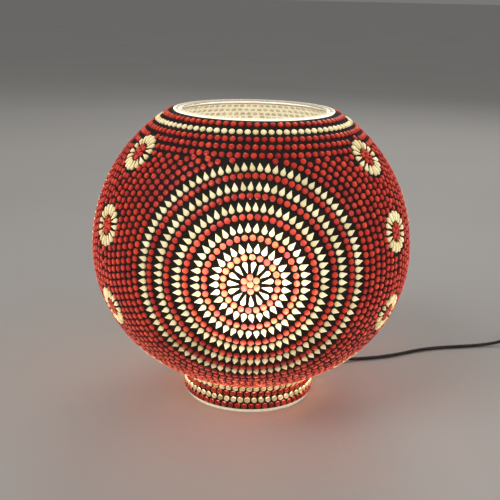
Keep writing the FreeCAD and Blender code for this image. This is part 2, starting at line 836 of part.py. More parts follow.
def make_bulb():
    keep(ring("bulb_contact", "0", "4.5", BULB_BASE, BULB_INSULATOR), "bulb_contact")
    keep(turned("bulb_insulator", [
        ("0", BULB_INSULATOR),
        ("5.2", BULB_INSULATOR),
        (f"{BULB_NECK} - 1.4", BULB_CAP),
        ("0", BULB_CAP),
    ]), "bulb_insulator")
    keep(turned("bulb_cap", [
        ("0", BULB_CAP),
        (f"{BULB_NECK} - 1.0", BULB_CAP),
        ("bulb_cap_radius", f"{BULB_CAP} + 1.8"),
        ("bulb_cap_radius", BULB_CAP_TOP),
        (BULB_NECK, BULB_CAP_TOP),
        (BULB_NECK, f"{BULB_CAP} + 2.0"),
        ("0", f"{BULB_CAP} + 2.0"),
    ]), "bulb_cap")

    inner_radius = "(bulb_radius - bulb_glass_wall)"
    neck_inside = f"({BULB_NECK} - bulb_glass_wall)"
    glass_base = f"{BULB_CAP_TOP} - 4.0"
    outer_meet = f"{BULB_CENTRE} - sqrt(bulb_radius ^ 2 - {BULB_NECK} ^ 2)"
    inner_meet = f"{BULB_CENTRE} - sqrt({inner_radius} ^ 2 - {neck_inside} ^ 2)"
    keep(turned("bulb_glass", [
        (BULB_NECK, glass_base),
        (BULB_NECK, outer_meet),
        ("0", f"{BULB_CENTRE} + bulb_radius"),
        ("0", f"{BULB_CENTRE} + {inner_radius}"),
        (neck_inside, inner_meet),
        (neck_inside, glass_base),
    ], {
        1: ("bulb_radius", "0", BULB_CENTRE),
        3: (inner_radius, "0", BULB_CENTRE),
    }), "bulb_glass")

    stem_base = f"{BULB_CAP} + 2.0"
    keep(turned("bulb_stem", [
        ("0", stem_base),
        ("9.0", stem_base),
        ("9.0", f"{stem_base} + 2.0"),
        ("3.2", f"{stem_base} + 7.0"),
        ("2.4", f"{BULB_CENTRE} - 6.0"),
        ("0", f"{BULB_CENTRE} - 6.0"),
    ]), "bulb_stem")
    filaments = []
    for i in range(4):
        across = Vector(math.cos(math.pi * i / 2), math.sin(math.pi * i / 2), 0)
        lean = (across * 0.5 + Vector(0, 0, 1)).normalize()
        filaments.append(rod(f"filament{i}", "0.9", "15.0", x=f"{across.x:.0f} * 3.6",
                             y=f"{across.y:.0f} * 3.6", z=f"{BULB_CENTRE} - 7.0",
                             direction=lean))
    keep(group("bulb_filaments", *filaments), "bulb_filaments")


# --------------------------------------------------------------------------
# Cord
# --------------------------------------------------------------------------
def cord_shape(label, points, diameter, start_direction=None):
    """Straight runs joined by tangent arcs, as large as their runs allow."""
    points = [Vector(*p) for p in points]
    edges = []
    radii = []
    here = points[0]
    for before, corner, after in zip(points, points[1:], points[2:]):
        to_corner = corner - before
        from_corner = after - corner
        turn = to_corner.getAngle(from_corner)
        radius = 0.45 * min(to_corner.Length, from_corner.Length) / math.tan(turn / 2)
        back = radius * math.tan(turn / 2)
        first = corner - to_corner.normalize() * back
        last = corner + from_corner.normalize() * back
        inward = (from_corner - to_corner).normalize()
        middle = corner + inward * (radius / math.cos(turn / 2) - radius)
        edges.append(Part.LineSegment(here, first).toShape())
        edges.append(Part.Arc(first, middle, last).toShape())
        radii.append(radius)
        here = last
    edges.append(Part.LineSegment(here, points[-1]).toShape())
    path = Part.Wire(edges)
    heading = (points[1] - points[0]).normalize()
    section = Part.Wire([Part.makeCircle(diameter / 2, points[0], heading)])
    tube = path.makePipeShell([section], True, False)
    expected = math.pi * diameter ** 2 / 4 * path.Length
    print(f"{label}: length {path.Length:.1f}, smallest radius {min(radii, default=0):.1f},"
          f" volume ratio {tube.Volume / expected:.4f}")
    return tube


def cord_outlet(reach):
    """A point on the axis of the hole in the foot, reach out from the lamp's axis."""
    return bearing_vector() * reach + Vector(0, 0, SIZE["cord_hole_height"])


def make_relief():
    """A rubber grommet in the foot's hole, drawn out into a tapered sleeve."""
    inner_face = "(foot_radius - foot_wall)"
    flange_seat = "(foot_radius + 0.15)"
    bore = "cord_diameter / 2 + relief_clearance"
    corners = [
        (bore, f"{inner_face} - relief_flange_thickness - 0.6"),
        ("relief_flange_radius", f"{inner_face} - relief_flange_thickness - 0.6"),
        ("relief_flange_radius", f"{inner_face} - 0.6"),
        ("cord_hole_radius - 0.1", f"{inner_face} - 0.6"),
        ("cord_hole_radius - 0.1", flange_seat),
        ("relief_flange_radius", flange_seat),
        ("relief_flange_radius", f"{flange_seat} + relief_flange_thickness"),
        ("cord_hole_radius", f"{flange_seat} + relief_flange_thickness + 1.2"),
        ("cord_diameter / 2 + 0.8", f"{flange_seat} + relief_length"),
        (bore, f"{flange_seat} + relief_length"),
    ]
    sleeve = turned("cord_relief", corners)
    turn = FreeCAD.Rotation(Vector(0, 0, 1), bearing_vector())
    sleeve.Placement = FreeCAD.Placement(Vector(0, 0, 0), turn)
    place(sleeve, z="cord_hole_height")
    return keep(sleeve, "cord_relief")


SWITCH_LEFT = "(switch_x - switch_length / 2)"
SWITCH_RIGHT = "(switch_x + switch_length / 2)"
FLOOR_LINE = SIZE["cord_diameter"] / 2 + 0.05


def make_cords():
    diameter = SIZE["cord_diameter"]
    across = bearing_vector()
    relief_end = number("foot_radius + 0.15 + relief_length")
    bend = 6.3
    low = FLOOR_LINE + 0.4
    straight_inside = 13.5
    landing = 26.0
    straight_outside = 11.0
    foot_route = [
        tuple(cord_outlet(relief_end)),
        tuple(cord_outlet(SIZE["foot_radius"] - straight_inside)),
        tuple(across * landing + Vector(0, 0, low + 0.6)),
        tuple(across * bend + Vector(0, 0, low)),
        (0.0, 0.0, low + bend),
        (0.1, 0.0, low + bend * 2.5),
        (0.0, 0.0, number(UPPER_NUT_TOP) - 1.0),
    ]
    solid_feature("foot_cord", cord_shape("foot_cord", foot_route, diameter))

    entry = (number(SWITCH_LEFT), SIZE["switch_y"], SIZE["switch_split"])
    route = [tuple(cord_outlet(relief_end)), tuple(cord_outlet(relief_end + straight_outside))]
    route += ROUTE_TO_SWITCH + [entry]
    solid_feature("supply_cord", cord_shape("supply_cord", route, diameter))

    leave = (number(SWITCH_RIGHT), SIZE["switch_y"], SIZE["switch_split"])
    coil_entry = number("coil_x + coil_radius + coil_pitch")
    route = [leave] + ROUTE_TO_COIL + [(coil_entry, SIZE["coil_y"], COIL_LOW)]
    solid_feature("switch_cord", cord_shape("switch_cord", route, diameter))

    route = [(coil_entry, SIZE["coil_y"], COIL_HIGH)] + ROUTE_TO_PLUG
    route.append((coil_entry, number(PLUG_NECK_START), SIZE["plug_thickness"] / 2))
    solid_feature("plug_cord", cord_shape("plug_cord", route, diameter))


ROUTE_TO_SWITCH = [
    (88.0, 57.6, 4.6),
    (102.0, 63.4, FLOOR_LINE),
    (117.0, 67.0, FLOOR_LINE),
    (132.0, 71.0, FLOOR_LINE),
    (152.0, 80.0, FLOOR_LINE),
    (172.0, 91.5, FLOOR_LINE),
    (194.0, 99.5, FLOOR_LINE),
    (218.0, 104.0, FLOOR_LINE),
    (240.0, 109.0, FLOOR_LINE),
    (258.0, 112.8, 3.2),
    (267.0, 113.8, 6.4),
]
ROUTE_TO_COIL = [
    (342.0, 114.4, 6.6),
    (350.0, 120.5, 3.8),
    (353.5, 131.0, FLOOR_LINE),
    (349.6, 144.0, FLOOR_LINE),
    (346.3, 156.0, 2.4),
]
ROUTE_TO_PLUG = [
    (345.7, 177.0, 12.2),
    (345.7, 186.5, 8.6),
    (345.4, 195.0, 6.8),
]
COIL_INNER = "(coil_radius - coil_columns / 2 * coil_pitch)"
COIL_OUTER = "(coil_radius + coil_columns / 2 * coil_pitch)"
COIL_HEIGHT = "(coil_layers * coil_pitch)"
COIL_LOW = SIZE["tie_thickness"] + SIZE["coil_pitch"] / 2
COIL_HIGH = SIZE["tie_thickness"] + SIZE["coil_pitch"] * (SIZE["coil_layers"] - 0.5)
PLUG_BACK = "(plug_y - plug_length / 2)"
PLUG_NECK_START = f"({PLUG_BACK} - plug_neck_length)"
PLUG_X = "(coil_x + coil_radius + coil_pitch)"


def make_coil():
    """The spare length wound into a neat coil, with a hook-and-loop tie round it."""
    coil = ring("cord_coil", COIL_INNER, COIL_OUTER, "tie_thickness",
                f"tie_thickness + {COIL_HEIGHT}")
    keep(place(coil, "coil_x", "coil_y"), "cord_coil")
    reach = "(coil_columns * coil_pitch + 2.0)"
    outer = block("tie_outer", f"{reach} + tie_thickness * 2", "tie_width",
                  f"{COIL_HEIGHT} + 0.3 + tie_thickness * 2", "coil_x - coil_radius", "coil_y", "0")
    inner = block("tie_inner", reach, "tie_width * 2", f"{COIL_HEIGHT} + 0.3",
                  "coil_x - coil_radius", "coil_y", "tie_thickness")
    keep(cut("cord_tie", outer, inner), "cord_tie")


# --------------------------------------------------------------------------
# Inline switch
# --------------------------------------------------------------------------
def make_switch():
    at = ("switch_x", "switch_y")
    cord_way = rod("switch_cord_way", "cord_diameter / 2 + 0.1", "switch_length * 2",
                   x="switch_x - switch_length", y="switch_y", z="switch_split",
                   direction=Vector(1, 0, 0))
    inside_length = "switch_length - switch_wall * 2"
    inside_width = "switch_width - switch_wall * 2"

    def rounded(name, length, width, height, z, radius):
        shape = block(name, length, width, height, *at, z)
        doc.recompute()
        feature = doc.addObject("Part::Fillet", name + "_rounded")
        feature.Base = shape
        upright = [i for i, edge in enumerate(shape.Shape.Edges, start=1)
                   if abs(edge.tangentAt(edge.FirstParameter).z) > 0.99]
        feature.Edges = [(i, radius, radius) for i in upright]
        return feature

    base = rounded("base_shell", "switch_length", "switch_width", "switch_split", "0", 7.0)
    tray = rounded("base_tray", inside_length, inside_width, "switch_split",
                   "switch_wall", 5.2)
    posts = [rod(f"switch_post{i}", "switch_screw_radius + 1.8", "switch_split - 0.1",
                 x=f"switch_x + {side} * switch_length * 0.32",
                 y=f"switch_y + {side} * switch_width * 0.22", z="0")
             for i, side in enumerate((-1, 1))]
    screw_ways = [rod(f"switch_way{i}", "switch_screw_radius + 0.1", "switch_height",
                      x=f"switch_x + {side} * switch_length * 0.32",
                      y=f"switch_y + {side} * switch_width * 0.22", z="0 - 1")
                  for i, side in enumerate((-1, 1))]
    head_ways = [rod(f"switch_head_way{i}", "switch_screw_head + 0.2", "3.0",
                     x=f"switch_x + {side} * switch_length * 0.32",
                     y=f"switch_y + {side} * switch_width * 0.22", z="0 - 1")
                 for i, side in enumerate((-1, 1))]
    hollow = cut("switch_base_hollow", base, tray)
    keep(cut("switch_base", fuse("switch_base", hollow, *posts), cord_way,
             *screw_ways, *head_ways), "switch_base")

    cover_height = "switch_height - switch_split"
    cover = rounded("cover_shell", "switch_length", "switch_width", cover_height,
                    "switch_split", 7.0)
    pocket = rounded("cover_pocket", inside_length, inside_width,
                     f"{cover_height} - switch_wall", "switch_split", 5.2)
    cheek_gap = "rocker_width + rocker_gap * 2"
    cheeks = [block(f"switch_cheek{i}", "7.0", "1.6", f"{cover_height} - 0.2", "switch_x",
                    f"switch_y + {side} * (rocker_width / 2 + rocker_gap + 0.8)",
                    "switch_split + 0.2")
              for i, side in enumerate((-1, 1))]
    bosses = [rod(f"switch_boss{i}", "switch_screw_radius + 1.8", f"{cover_height} - 0.5",
                  x=f"switch_x + {side} * switch_length * 0.32",
                  y=f"switch_y + {side} * switch_width * 0.22", z="switch_split")
              for i, side in enumerate((-1, 1))]
    window = block("switch_window", "rocker_length + rocker_gap * 2 + 0.8", cheek_gap,
                   "switch_height", *at, "switch_split")
    pivot_way = rod("switch_pivot_way", "pivot_radius + pivot_clearance", "rocker_width * 2",
                    x="switch_x", y="switch_y + rocker_width", z="pivot_height",
                    direction=Vector(0, -1, 0))
    hollow = cut("switch_cover_hollow", cover, pocket)
    keep(cut("switch_cover", fuse("switch_cover", hollow, *cheeks, *bosses), window,
             pivot_way, cord_way, *screw_ways), "switch_cover")

    rocker = padded("switch_rocker_blade", "XZ_Plane", [
        ("0 - rocker_length / 2", "0 - 1.4"),
        ("0", "0 - 3.4"),
        ("rocker_length / 2", "0 - 1.4"),
        ("rocker_length / 2", "3.6"),
        ("0", "2.3"),
        ("0 - rocker_length / 2", "3.6"),
    ], "rocker_width")
    rocker.Placement = FreeCAD.Placement(Vector(), FreeCAD.Rotation(Vector(0, 1, 0),
                                                                   -SIZE["rocker_tilt"]))
    place(rocker, "switch_x", "switch_y + rocker_width / 2", "pivot_height")
    pivot = rod("rocker_pivot", "pivot_radius", "rocker_width + rocker_gap * 2 + 2.6",
                x="switch_x", y="switch_y + rocker_width / 2 + rocker_gap + 1.3",
                z="pivot_height", direction=Vector(0, -1, 0))
    keep(fuse("switch_rocker", rocker, pivot), "switch_rocker")

    screws = []
    for i, side in enumerate((-1, 1)):
        across = f"switch_x + {side} * switch_length * 0.32"
        along = f"switch_y + {side} * switch_width * 0.22"
        head = rod(f"switch_screw_head{i}", "switch_screw_head", "1.4", x=across, y=along, z="0.5")
        shank = rod(f"switch_screw_shank{i}", "switch_screw_radius", "9.0", x=across, y=along,
                    z="1.9")
        slot = block(f"switch_screw_slot{i}", "switch_screw_head * 2.4", "0.8", "0.6",
                     across, along, "0.4")
        screws.append(cut(f"switch_screw{i}", fuse(f"switch_screw{i}", head, shank), slot))
    keep(group("switch_screws", *screws), "switch_screws")

    contacts = [block(f"switch_contact{i}", "13.0", "4.0", "0.8",
                      f"switch_x + {side} * 8.5", "switch_y", "switch_wall")
                for i, side in enumerate((-1, 1))]
    keep(group("switch_contacts", *contacts), "switch_contacts")


# --------------------------------------------------------------------------
# Plug
# --------------------------------------------------------------------------
def make_plug():
    half = "plug_width / 2"
    body = padded("plug_body", "XY_Plane", [
        ("0 - plug_width * 0.2", "0"),
        ("plug_width * 0.2", "0"),
        (half, "plug_length * 0.45"),
        (half, "plug_length"),
        (f"0 - {half}", "plug_length"),
        (f"0 - {half}", "plug_length * 0.45"),
    ], "plug_thickness")
    doc.recompute()
    pad = body.Tip
    edges = [f"Edge{i}" for i in range(1, len(pad.Shape.Edges) + 1)]
    rounding = body.newObject("PartDesign::Fillet", "plug_rounding")
    rounding.Base = (pad, edges)
    rounding.Radius = 1.8
    body.Tip = rounding
    place(body, PLUG_X, PLUG_BACK, "0")
    keep(body, "plug_body")

    neck = turned("plug_neck", [
        ("0", "0"),
        ("cord_diameter / 2 + 0.7", "0"),
        ("plug_thickness / 2 - 2.4", "plug_neck_length"),
        ("0", "plug_neck_length"),
    ])
    neck.Placement = FreeCAD.Placement(Vector(), FreeCAD.Rotation(Vector(0, 0, 1), Vector(0, 1, 0)))
    place(neck, PLUG_X, PLUG_NECK_START, "plug_thickness / 2")
    keep(neck, "plug_neck")

    pins = []
    for i, side in enumerate((-1, 1)):
        pins.append(rod(f"plug_pin{i}", "pin_radius", "pin_length",
                        x=f"{PLUG_X} + {side} * pin_spacing / 2",
                        y=f"{PLUG_BACK} + plug_length", z="plug_thickness / 2",
                        direction=Vector(0, 1, 0)))
    keep(group("plug_pins", *pins), "plug_pins")


# --------------------------------------------------------------------------
# Lead ends inside the lampholder
# --------------------------------------------------------------------------
def make_lead_ends():
    leads = []
    start = number(UPPER_NUT_TOP) - 0.9
    rise = number(CORE_BASE) - number(UPPER_NUT_TOP) - SIZE["terminal_head_height"]
    for side in (-1, 1):
        route = [(side * 0.8, 0.0, start),
                 (side * 0.9, 0.4, start + rise * 0.6),
                 (side * 4.0, 0.8, start + rise * 0.9),
                 (side * (SIZE["terminal_spacing"] / 2 - SIZE["terminal_head_radius"] - 0.6),
                  0.4, start + rise)]
        leads.append(cord_shape("lead_end", route, 1.2))
    solid_feature("lead_ends", Part.makeCompound(leads))


# --------------------------------------------------------------------------
# Build, check and write
# --------------------------------------------------------------------------
def main():
    make_globe()
    make_grout()
    make_tiles()
    make_stem()
    make_lampholder()
    make_bulb()
    make_relief()
    make_cords()
    make_coil()
    make_switch()
    make_plug()
    make_lead_ends()
    doc.recompute()
    for feature in doc.Objects:
        for state in feature.State:
            if state in ("Invalid", "Error"):
                raise RuntimeError(f"{feature.Name} is {state}")
    os.makedirs("parts", exist_ok=True)
    for feature in nodes:
        shape = feature.Shape
        if shape.isNull() or not shape.isValid() or not shape.Solids:
            raise RuntimeError(f"{feature.Label} has no valid solid")
        shape.exportStep(f"parts/{feature.Label}.step")
        box = shape.optimalBoundingBox() if len(shape.Solids) < 50 else shape.BoundBox
        print(f"{feature.Label}: {len(shape.Solids)} solids, {shape.Volume:.0f} mm3,"
              f" z {box.ZMin:.2f} to {box.ZMax:.2f}")


main()
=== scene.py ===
"""The looks of the mosaic glass table lamp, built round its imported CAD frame.

Metres, in the CAD frame: +Z is up, the lamp's axis is Z and it stands on z = 0.
"""
import json
import math
import random

import bmesh
import bpy
import numpy as np
from mathutils import Matrix, Quaternion, Vector, noise

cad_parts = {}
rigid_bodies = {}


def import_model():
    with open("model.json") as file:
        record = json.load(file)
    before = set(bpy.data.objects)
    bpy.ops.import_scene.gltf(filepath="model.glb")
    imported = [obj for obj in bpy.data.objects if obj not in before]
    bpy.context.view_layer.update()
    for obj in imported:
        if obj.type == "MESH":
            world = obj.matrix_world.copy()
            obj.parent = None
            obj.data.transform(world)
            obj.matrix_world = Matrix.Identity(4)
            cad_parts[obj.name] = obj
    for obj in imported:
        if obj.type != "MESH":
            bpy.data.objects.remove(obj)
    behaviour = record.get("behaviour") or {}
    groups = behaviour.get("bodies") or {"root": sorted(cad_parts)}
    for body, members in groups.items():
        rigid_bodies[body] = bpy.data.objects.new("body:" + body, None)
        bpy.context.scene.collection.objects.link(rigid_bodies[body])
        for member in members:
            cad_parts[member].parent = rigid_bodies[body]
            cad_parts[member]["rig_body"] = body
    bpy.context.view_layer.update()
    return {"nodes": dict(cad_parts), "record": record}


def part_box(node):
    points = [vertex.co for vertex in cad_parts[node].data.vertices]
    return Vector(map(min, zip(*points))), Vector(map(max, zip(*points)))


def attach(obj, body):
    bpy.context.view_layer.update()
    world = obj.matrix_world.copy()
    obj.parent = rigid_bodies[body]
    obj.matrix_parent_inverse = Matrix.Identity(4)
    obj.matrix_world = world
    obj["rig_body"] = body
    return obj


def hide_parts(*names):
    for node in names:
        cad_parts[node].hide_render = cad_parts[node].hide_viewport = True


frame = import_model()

scene = bpy.context.scene
scene.view_settings.view_transform = "Standard"

MM = 0.001

# --------------------------------------------------------------------------
# Sizes: the glass profile, as the CAD model has it
# --------------------------------------------------------------------------
LAMP_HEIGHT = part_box("glass_globe")[1].z
EQUATOR_HEIGHT = 135.8 * MM
EQUATOR_RADIUS = 135.2 * MM
UPPER_ARC = 134.6 * MM
LOWER_ARC = 113.4 * MM
GLASS_WALL = 3.0 * MM
FLOOR_THICKNESS = 3.4 * MM
FOOT_RADIUS = 55.5 * MM
FOOT_WALL = 3.2 * MM
NECK_FILLET = 20.0 * MM
BEAD_HEIGHT = 3.2 * MM
BEAD_PROUD = 1.1 * MM
STEM_HOLE = 6.6 * MM
GROUT_THICKNESS = 0.8 * MM
GROUT_RISE = 0.75 * MM
GLUE_DEPTH = 0.30 * MM
GLOBE_DETAIL = 40
INSIDE_DETAIL = 36
GLOBE_STEPS = 192
GROUT_DETAIL = 66
GROUT_STEPS = 300
LIP_OVERHANG = 3.4 * MM
LIP_DEPTH = 1.5 * MM
LIP_EDGE = 0.6 * MM
LIP_INNER = 1.3 * MM
CORD_DIAMETER = 3.2 * MM
CORD_BEARING = math.radians(34.0)
CORD_HOLE_HEIGHT = 9.0 * MM
FLOOR_LINE = 1.65 * MM
BULB_RADIUS = 22.5 * MM
BULB_CENTRE = Vector((0, 0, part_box("bulb_glass")[1].z - BULB_RADIUS))
BULB_POWER = 3.6
LIGHT_RADIUS = 20 * MM
MEDALLION_RISE = math.radians(2.6)
MEDALLION_BEARINGS = (0.0, 120.0, 240.0)


def cord_outlet(reach):
    """A point on the axis of the cord's hole in the foot, reach out from the lamp's axis."""
    return (reach * math.cos(CORD_BEARING), reach * math.sin(CORD_BEARING), CORD_HOLE_HEIGHT)


# --------------------------------------------------------------------------
# Camera
# --------------------------------------------------------------------------
CAMERA_PLACE = Vector((0.0, -0.7643, 0.3470))
CAMERA_AIM = Vector((0.0, 0.0, 0.1295))
CAMERA_LENS = 64.8
CAMERA_ROLL = 0.023
CAMERA_SHIFT = -0.0022


def make_camera():
    data = bpy.data.cameras.new("camera")
    data.lens = CAMERA_LENS
    data.shift_x = CAMERA_SHIFT
    camera = bpy.data.objects.new("camera", data)
    scene.collection.objects.link(camera)
    camera.rotation_mode = "QUATERNION"
    camera.location = CAMERA_PLACE
    aim = (CAMERA_AIM - CAMERA_PLACE).to_track_quat("-Z", "Y")
    camera.rotation_quaternion = aim @ Quaternion((0, 0, 1), CAMERA_ROLL)
    scene.camera = camera


# --------------------------------------------------------------------------
# Materials
# --------------------------------------------------------------------------
class Surface:
    """A Principled material, with short ways to add the nodes that vary it."""

    def __init__(self, name, **sockets):
        self.material = bpy.data.materials.new(name)
        self.material.use_nodes = True
        self.tree = self.material.node_tree
        self.shader = self.tree.nodes["Principled BSDF"]
        for socket, value in sockets.items():
            self.shader.inputs[socket.replace("_", " ")].default_value = value
        self.place = self.add("ShaderNodeTexCoord").outputs["Object"]

    def add(self, kind, **settings):
        node = self.tree.nodes.new(kind)
        for key, value in settings.items():
            setattr(node, key, value)
        return node

    def link(self, source, target):
        self.tree.links.new(source, target)

    def noise(self, scale, detail=3.0, stretch=None):
        node = self.add("ShaderNodeTexNoise")
        node.inputs["Scale"].default_value = scale
        node.inputs["Detail"].default_value = detail
        place = self.place
        if stretch:
            mapping = self.add("ShaderNodeMapping")
            mapping.inputs["Scale"].default_value = stretch
            self.link(place, mapping.inputs["Vector"])
            place = mapping.outputs["Vector"]
        self.link(place, node.inputs["Vector"])
        return node.outputs["Fac"]

    def value(self, name):
        return self.add("ShaderNodeAttribute", attribute_name=name).outputs["Fac"]

    def math(self, operation, first, second):
        node = self.add("ShaderNodeMath", operation=operation)
        for slot, source in zip(node.inputs, (first, second)):
            if isinstance(source, (int, float)):
                slot.default_value = source
            else:
                self.link(source, slot)
        return node.outputs[0]

    def ramp(self, factor, stops):
        """A colour ramp; each stop is (position, colour or grey level)."""
        node = self.add("ShaderNodeValToRGB")
        elements = node.color_ramp.elements
        while len(elements) < len(stops):
            elements.new(0.5)
        for element, (position, colour) in zip(elements, stops):
            element.position = position
            grey = isinstance(colour, (int, float))
            element.color = (colour,) * 3 + (1,) if grey else (*colour, 1)
        self.link(factor, node.inputs["Fac"])
        return node.outputs["Color"]

    def height(self, low, high):
        """0 below a height, 1 above another."""
        split = self.add("ShaderNodeSeparateXYZ")
        self.link(self.place, split.inputs[0])
        mapped = self.add("ShaderNodeMapRange", interpolation_type="SMOOTHSTEP")
        mapped.inputs["From Min"].default_value = low
        mapped.inputs["From Max"].default_value = high
        self.link(split.outputs["Z"], mapped.inputs["Value"])
        return mapped.outputs[0]

    def colour(self, source, socket="Base Color"):
        self.link(source, self.shader.inputs[socket])

    def bump(self, source, strength, depth):
        node = self.add("ShaderNodeBump")
        node.inputs["Strength"].default_value = strength
        node.inputs["Distance"].default_value = depth
        self.link(source, node.inputs["Height"])
        self.link(node.outputs["Normal"], self.shader.inputs["Normal"])


def plain_surface(name, dark, light, rough, grain, depth, stretch=None, **sockets):
    """Two close shades, a worn roughness and a fine grain, all from noise."""
    surface = Surface(name, **sockets)
    cloud = surface.noise(grain * 0.2, 4.0, stretch)
    surface.colour(surface.ramp(cloud, [(0.3, dark), (0.7, light)]))
    surface.colour(surface.ramp(cloud, [(0.25, rough[1]), (0.75, rough[0])]), "Roughness")
    surface.bump(surface.noise(grain, 3.0, stretch), 0.5, depth)
    return surface.material


RED_GLASS = [(0.20, (0.26, 0.010, 0.013)), (0.42, (0.46, 0.020, 0.016)),
             (0.60, (0.58, 0.036, 0.018)), (0.85, (0.68, 0.066, 0.026))]
# emission colours of the tiles' painted glow, standing in for the bulb's light through the glass
RED_PAINTED_GLOW = [(0.0, (0.030, 0.001, 0.001)), (0.30, (0.15, 0.004, 0.003)),
            (0.60, (0.46, 0.026, 0.012)), (0.80, (0.80, 0.100, 0.040)),
            (1.0, (1.0, 0.38, 0.17))]
CREAM_GLASS = [(0.10, (0.50, 0.46, 0.22)), (0.35, (0.74, 0.68, 0.42)),
               (0.75, (0.84, 0.80, 0.60)), (1.0, (0.90, 0.86, 0.70))]
CREAM_PAINTED_GLOW = [(0.0, (0.10, 0.055, 0.022)), (0.30, (0.34, 0.25, 0.12)),
              (0.60, (0.66, 0.55, 0.30)), (0.80, (0.86, 0.78, 0.50)),
              (1.0, (1.0, 0.96, 0.76))]


def tile_glass(name, body_stops, painted_glow_stops, clarity):
    """Pressed glass with the bulb's light painted on as a glow (emission): painted shade darkens it
    towards its ground edge, and it is brighter in the crown.
    """
    surface = Surface(name, Transmission_Weight=clarity, IOR=1.28,
                      Coat_Weight=0.55, Coat_Roughness=0.09)
    tone = surface.value("tile_tone")
    streak = surface.noise(420.0, 4.0)
    mixed = surface.math("MULTIPLY_ADD", streak, 0.42)
    surface.link(tone, mixed.node.inputs[2])
    shade = surface.math("SUBTRACT", mixed, 0.21)
    surface.colour(surface.ramp(shade, body_stops))
    surface.colour(surface.ramp(streak, [(0.3, 0.50), (0.7, 0.36)]), "Roughness")
    # painted shade: the painted glow is dimmed towards each tile's edge and mottled by the streak
    # noise
    rim = surface.math("POWER", surface.value("tile_edge"), 2.0)
    painted_rim_shade = surface.math("MULTIPLY", rim, -0.38)
    level = surface.math("ADD", surface.value("painted_tile_glow"), painted_rim_shade)
    cloud = surface.math("MULTIPLY", surface.math("SUBTRACT", streak, 0.5), 0.30)
    surface.colour(surface.ramp(surface.math("ADD", level, cloud), painted_glow_stops), "Emission Color")
    surface.shader.inputs["Emission Strength"].default_value = 1.0
    surface.bump(surface.noise(700.0, 2.0), 0.35, 0.00012)
    surface.material.cycles.emission_sampling = "NONE"
    return surface.material


def grout_surface():
    """Hand-rubbed black cement: matt, gritty, dusty on its high spots."""
    surface = Surface("black_grout")
    grit = surface.noise(1400.0, 5.0)
    cloud = surface.noise(60.0, 3.0)
    mixed = surface.math("MULTIPLY", grit, cloud)
    surface.colour(surface.ramp(mixed, [(0.12, (0.005, 0.004, 0.003)),
                                        (0.34, (0.016, 0.013, 0.010)),
                                        (0.55, (0.045, 0.036, 0.028))]))
    surface.colour(surface.ramp(grit, [(0.3, 0.95), (0.7, 0.72)]), "Roughness")
    surface.bump(surface.noise(900.0, 4.0), 0.7, 0.0003)
    return surface.material


def painted_glow_backing(name, low, high, strength, body):
    """What the lit inside shows through the clear glass, its light painted on as a mottled glow
    (emission) over a dull body.
    """
    surface = Surface(name, Roughness=0.8)
    cloud = surface.noise(90.0, 4.0)
    dull = [tuple(part * body for part in colour) for colour in (low, high)]
    surface.colour(surface.ramp(cloud, [(0.3, dull[0]), (0.7, dull[1])]))
    surface.colour(surface.ramp(cloud, [(0.3, low), (0.7, high)]), "Emission Color")
    surface.shader.inputs["Emission Strength"].default_value = strength
    surface.bump(surface.noise(500.0), 0.3, 0.0002)
    surface.material.cycles.emission_sampling = "NONE"
    return surface.material


def clear_glass():
    """Blown glass, with a painted glow (emission) on its cut rim and its foot bead, standing in for
    the light these edges collect.
    """
    surface = Surface("clear_glass", IOR=1.45, Transmission_Weight=0.94)
    seeds = surface.noise(140.0, 2.0)
    surface.colour(surface.ramp(seeds, [(0.3, (0.93, 0.92, 0.84)), (0.7, (0.98, 0.97, 0.93))]))
    surface.colour(surface.ramp(seeds, [(0.3, 0.02), (0.7, 0.05)]), "Roughness")
    # painted glow: emission on the foot bead and on the top of the rim, set by height
    above_bead = surface.height(BEAD_HEIGHT, BEAD_HEIGHT + 0.6 * MM)
    low = surface.math("MULTIPLY", surface.math("SUBTRACT", 1.0, above_bead), 0.45)
    high = surface.height(LAMP_HEIGHT - 3.0 * MM, LAMP_HEIGHT - 1.2 * MM)
    painted_rim_glow = surface.math("MAXIMUM", low, high)
    surface.colour(surface.ramp(painted_rim_glow, [(0.0, 0.0), (1.0, (0.96, 0.84, 0.64))]),
                   "Emission Color")
    surface.shader.inputs["Emission Strength"].default_value = 0.42
    surface.bump(surface.noise(30.0, 2.0), 0.05, 0.0003)
    surface.material.cycles.emission_sampling = "NONE"
    return surface.material


def opal_glass():
    surface = Surface("opal_glass", Coat_Weight=0.5, Coat_Roughness=0.05)
    cloud = surface.noise(60.0)
    surface.colour(surface.ramp(cloud, [(0.3, (0.90, 0.88, 0.80)), (0.7, (0.96, 0.95, 0.90))]))
    surface.colour(surface.ramp(cloud, [(0.3, 0.22), (0.7, 0.30)]), "Roughness")
    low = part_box("bulb_glass")[0].z
    level = surface.height(low, low + 22 * MM)
    surface.colour(surface.ramp(level, [(0.0, (0.45, 0.30, 0.14)), (0.5, (0.95, 0.75, 0.42)),
                                        (1.0, (1.0, 0.90, 0.68))]), "Emission Color")
    surface.shader.inputs["Emission Strength"].default_value = 2.4
    surface.bump(surface.noise(120.0), 0.1, 0.0002)
    return surface.material


def woven_tape():
    """Short looped pile of a hook-and-loop tape."""
    surface = Surface("tie_fabric", Sheen_Weight=0.5, Sheen_Roughness=0.5)
    loops = surface.add("ShaderNodeTexVoronoi")
    loops.inputs["Scale"].default_value = 1900.0
    surface.link(surface.place, loops.inputs["Vector"])
    surface.colour(surface.ramp(loops.outputs["Distance"],
                                [(0.1, (0.012, 0.012, 0.013)), (0.7, (0.05, 0.05, 0.055))]))
    surface.colour(surface.ramp(surface.noise(300.0), [(0.3, 0.80), (0.7, 0.95)]), "Roughness")
    surface.bump(loops.outputs["Distance"], 0.8, 0.0004)
    return surface.material


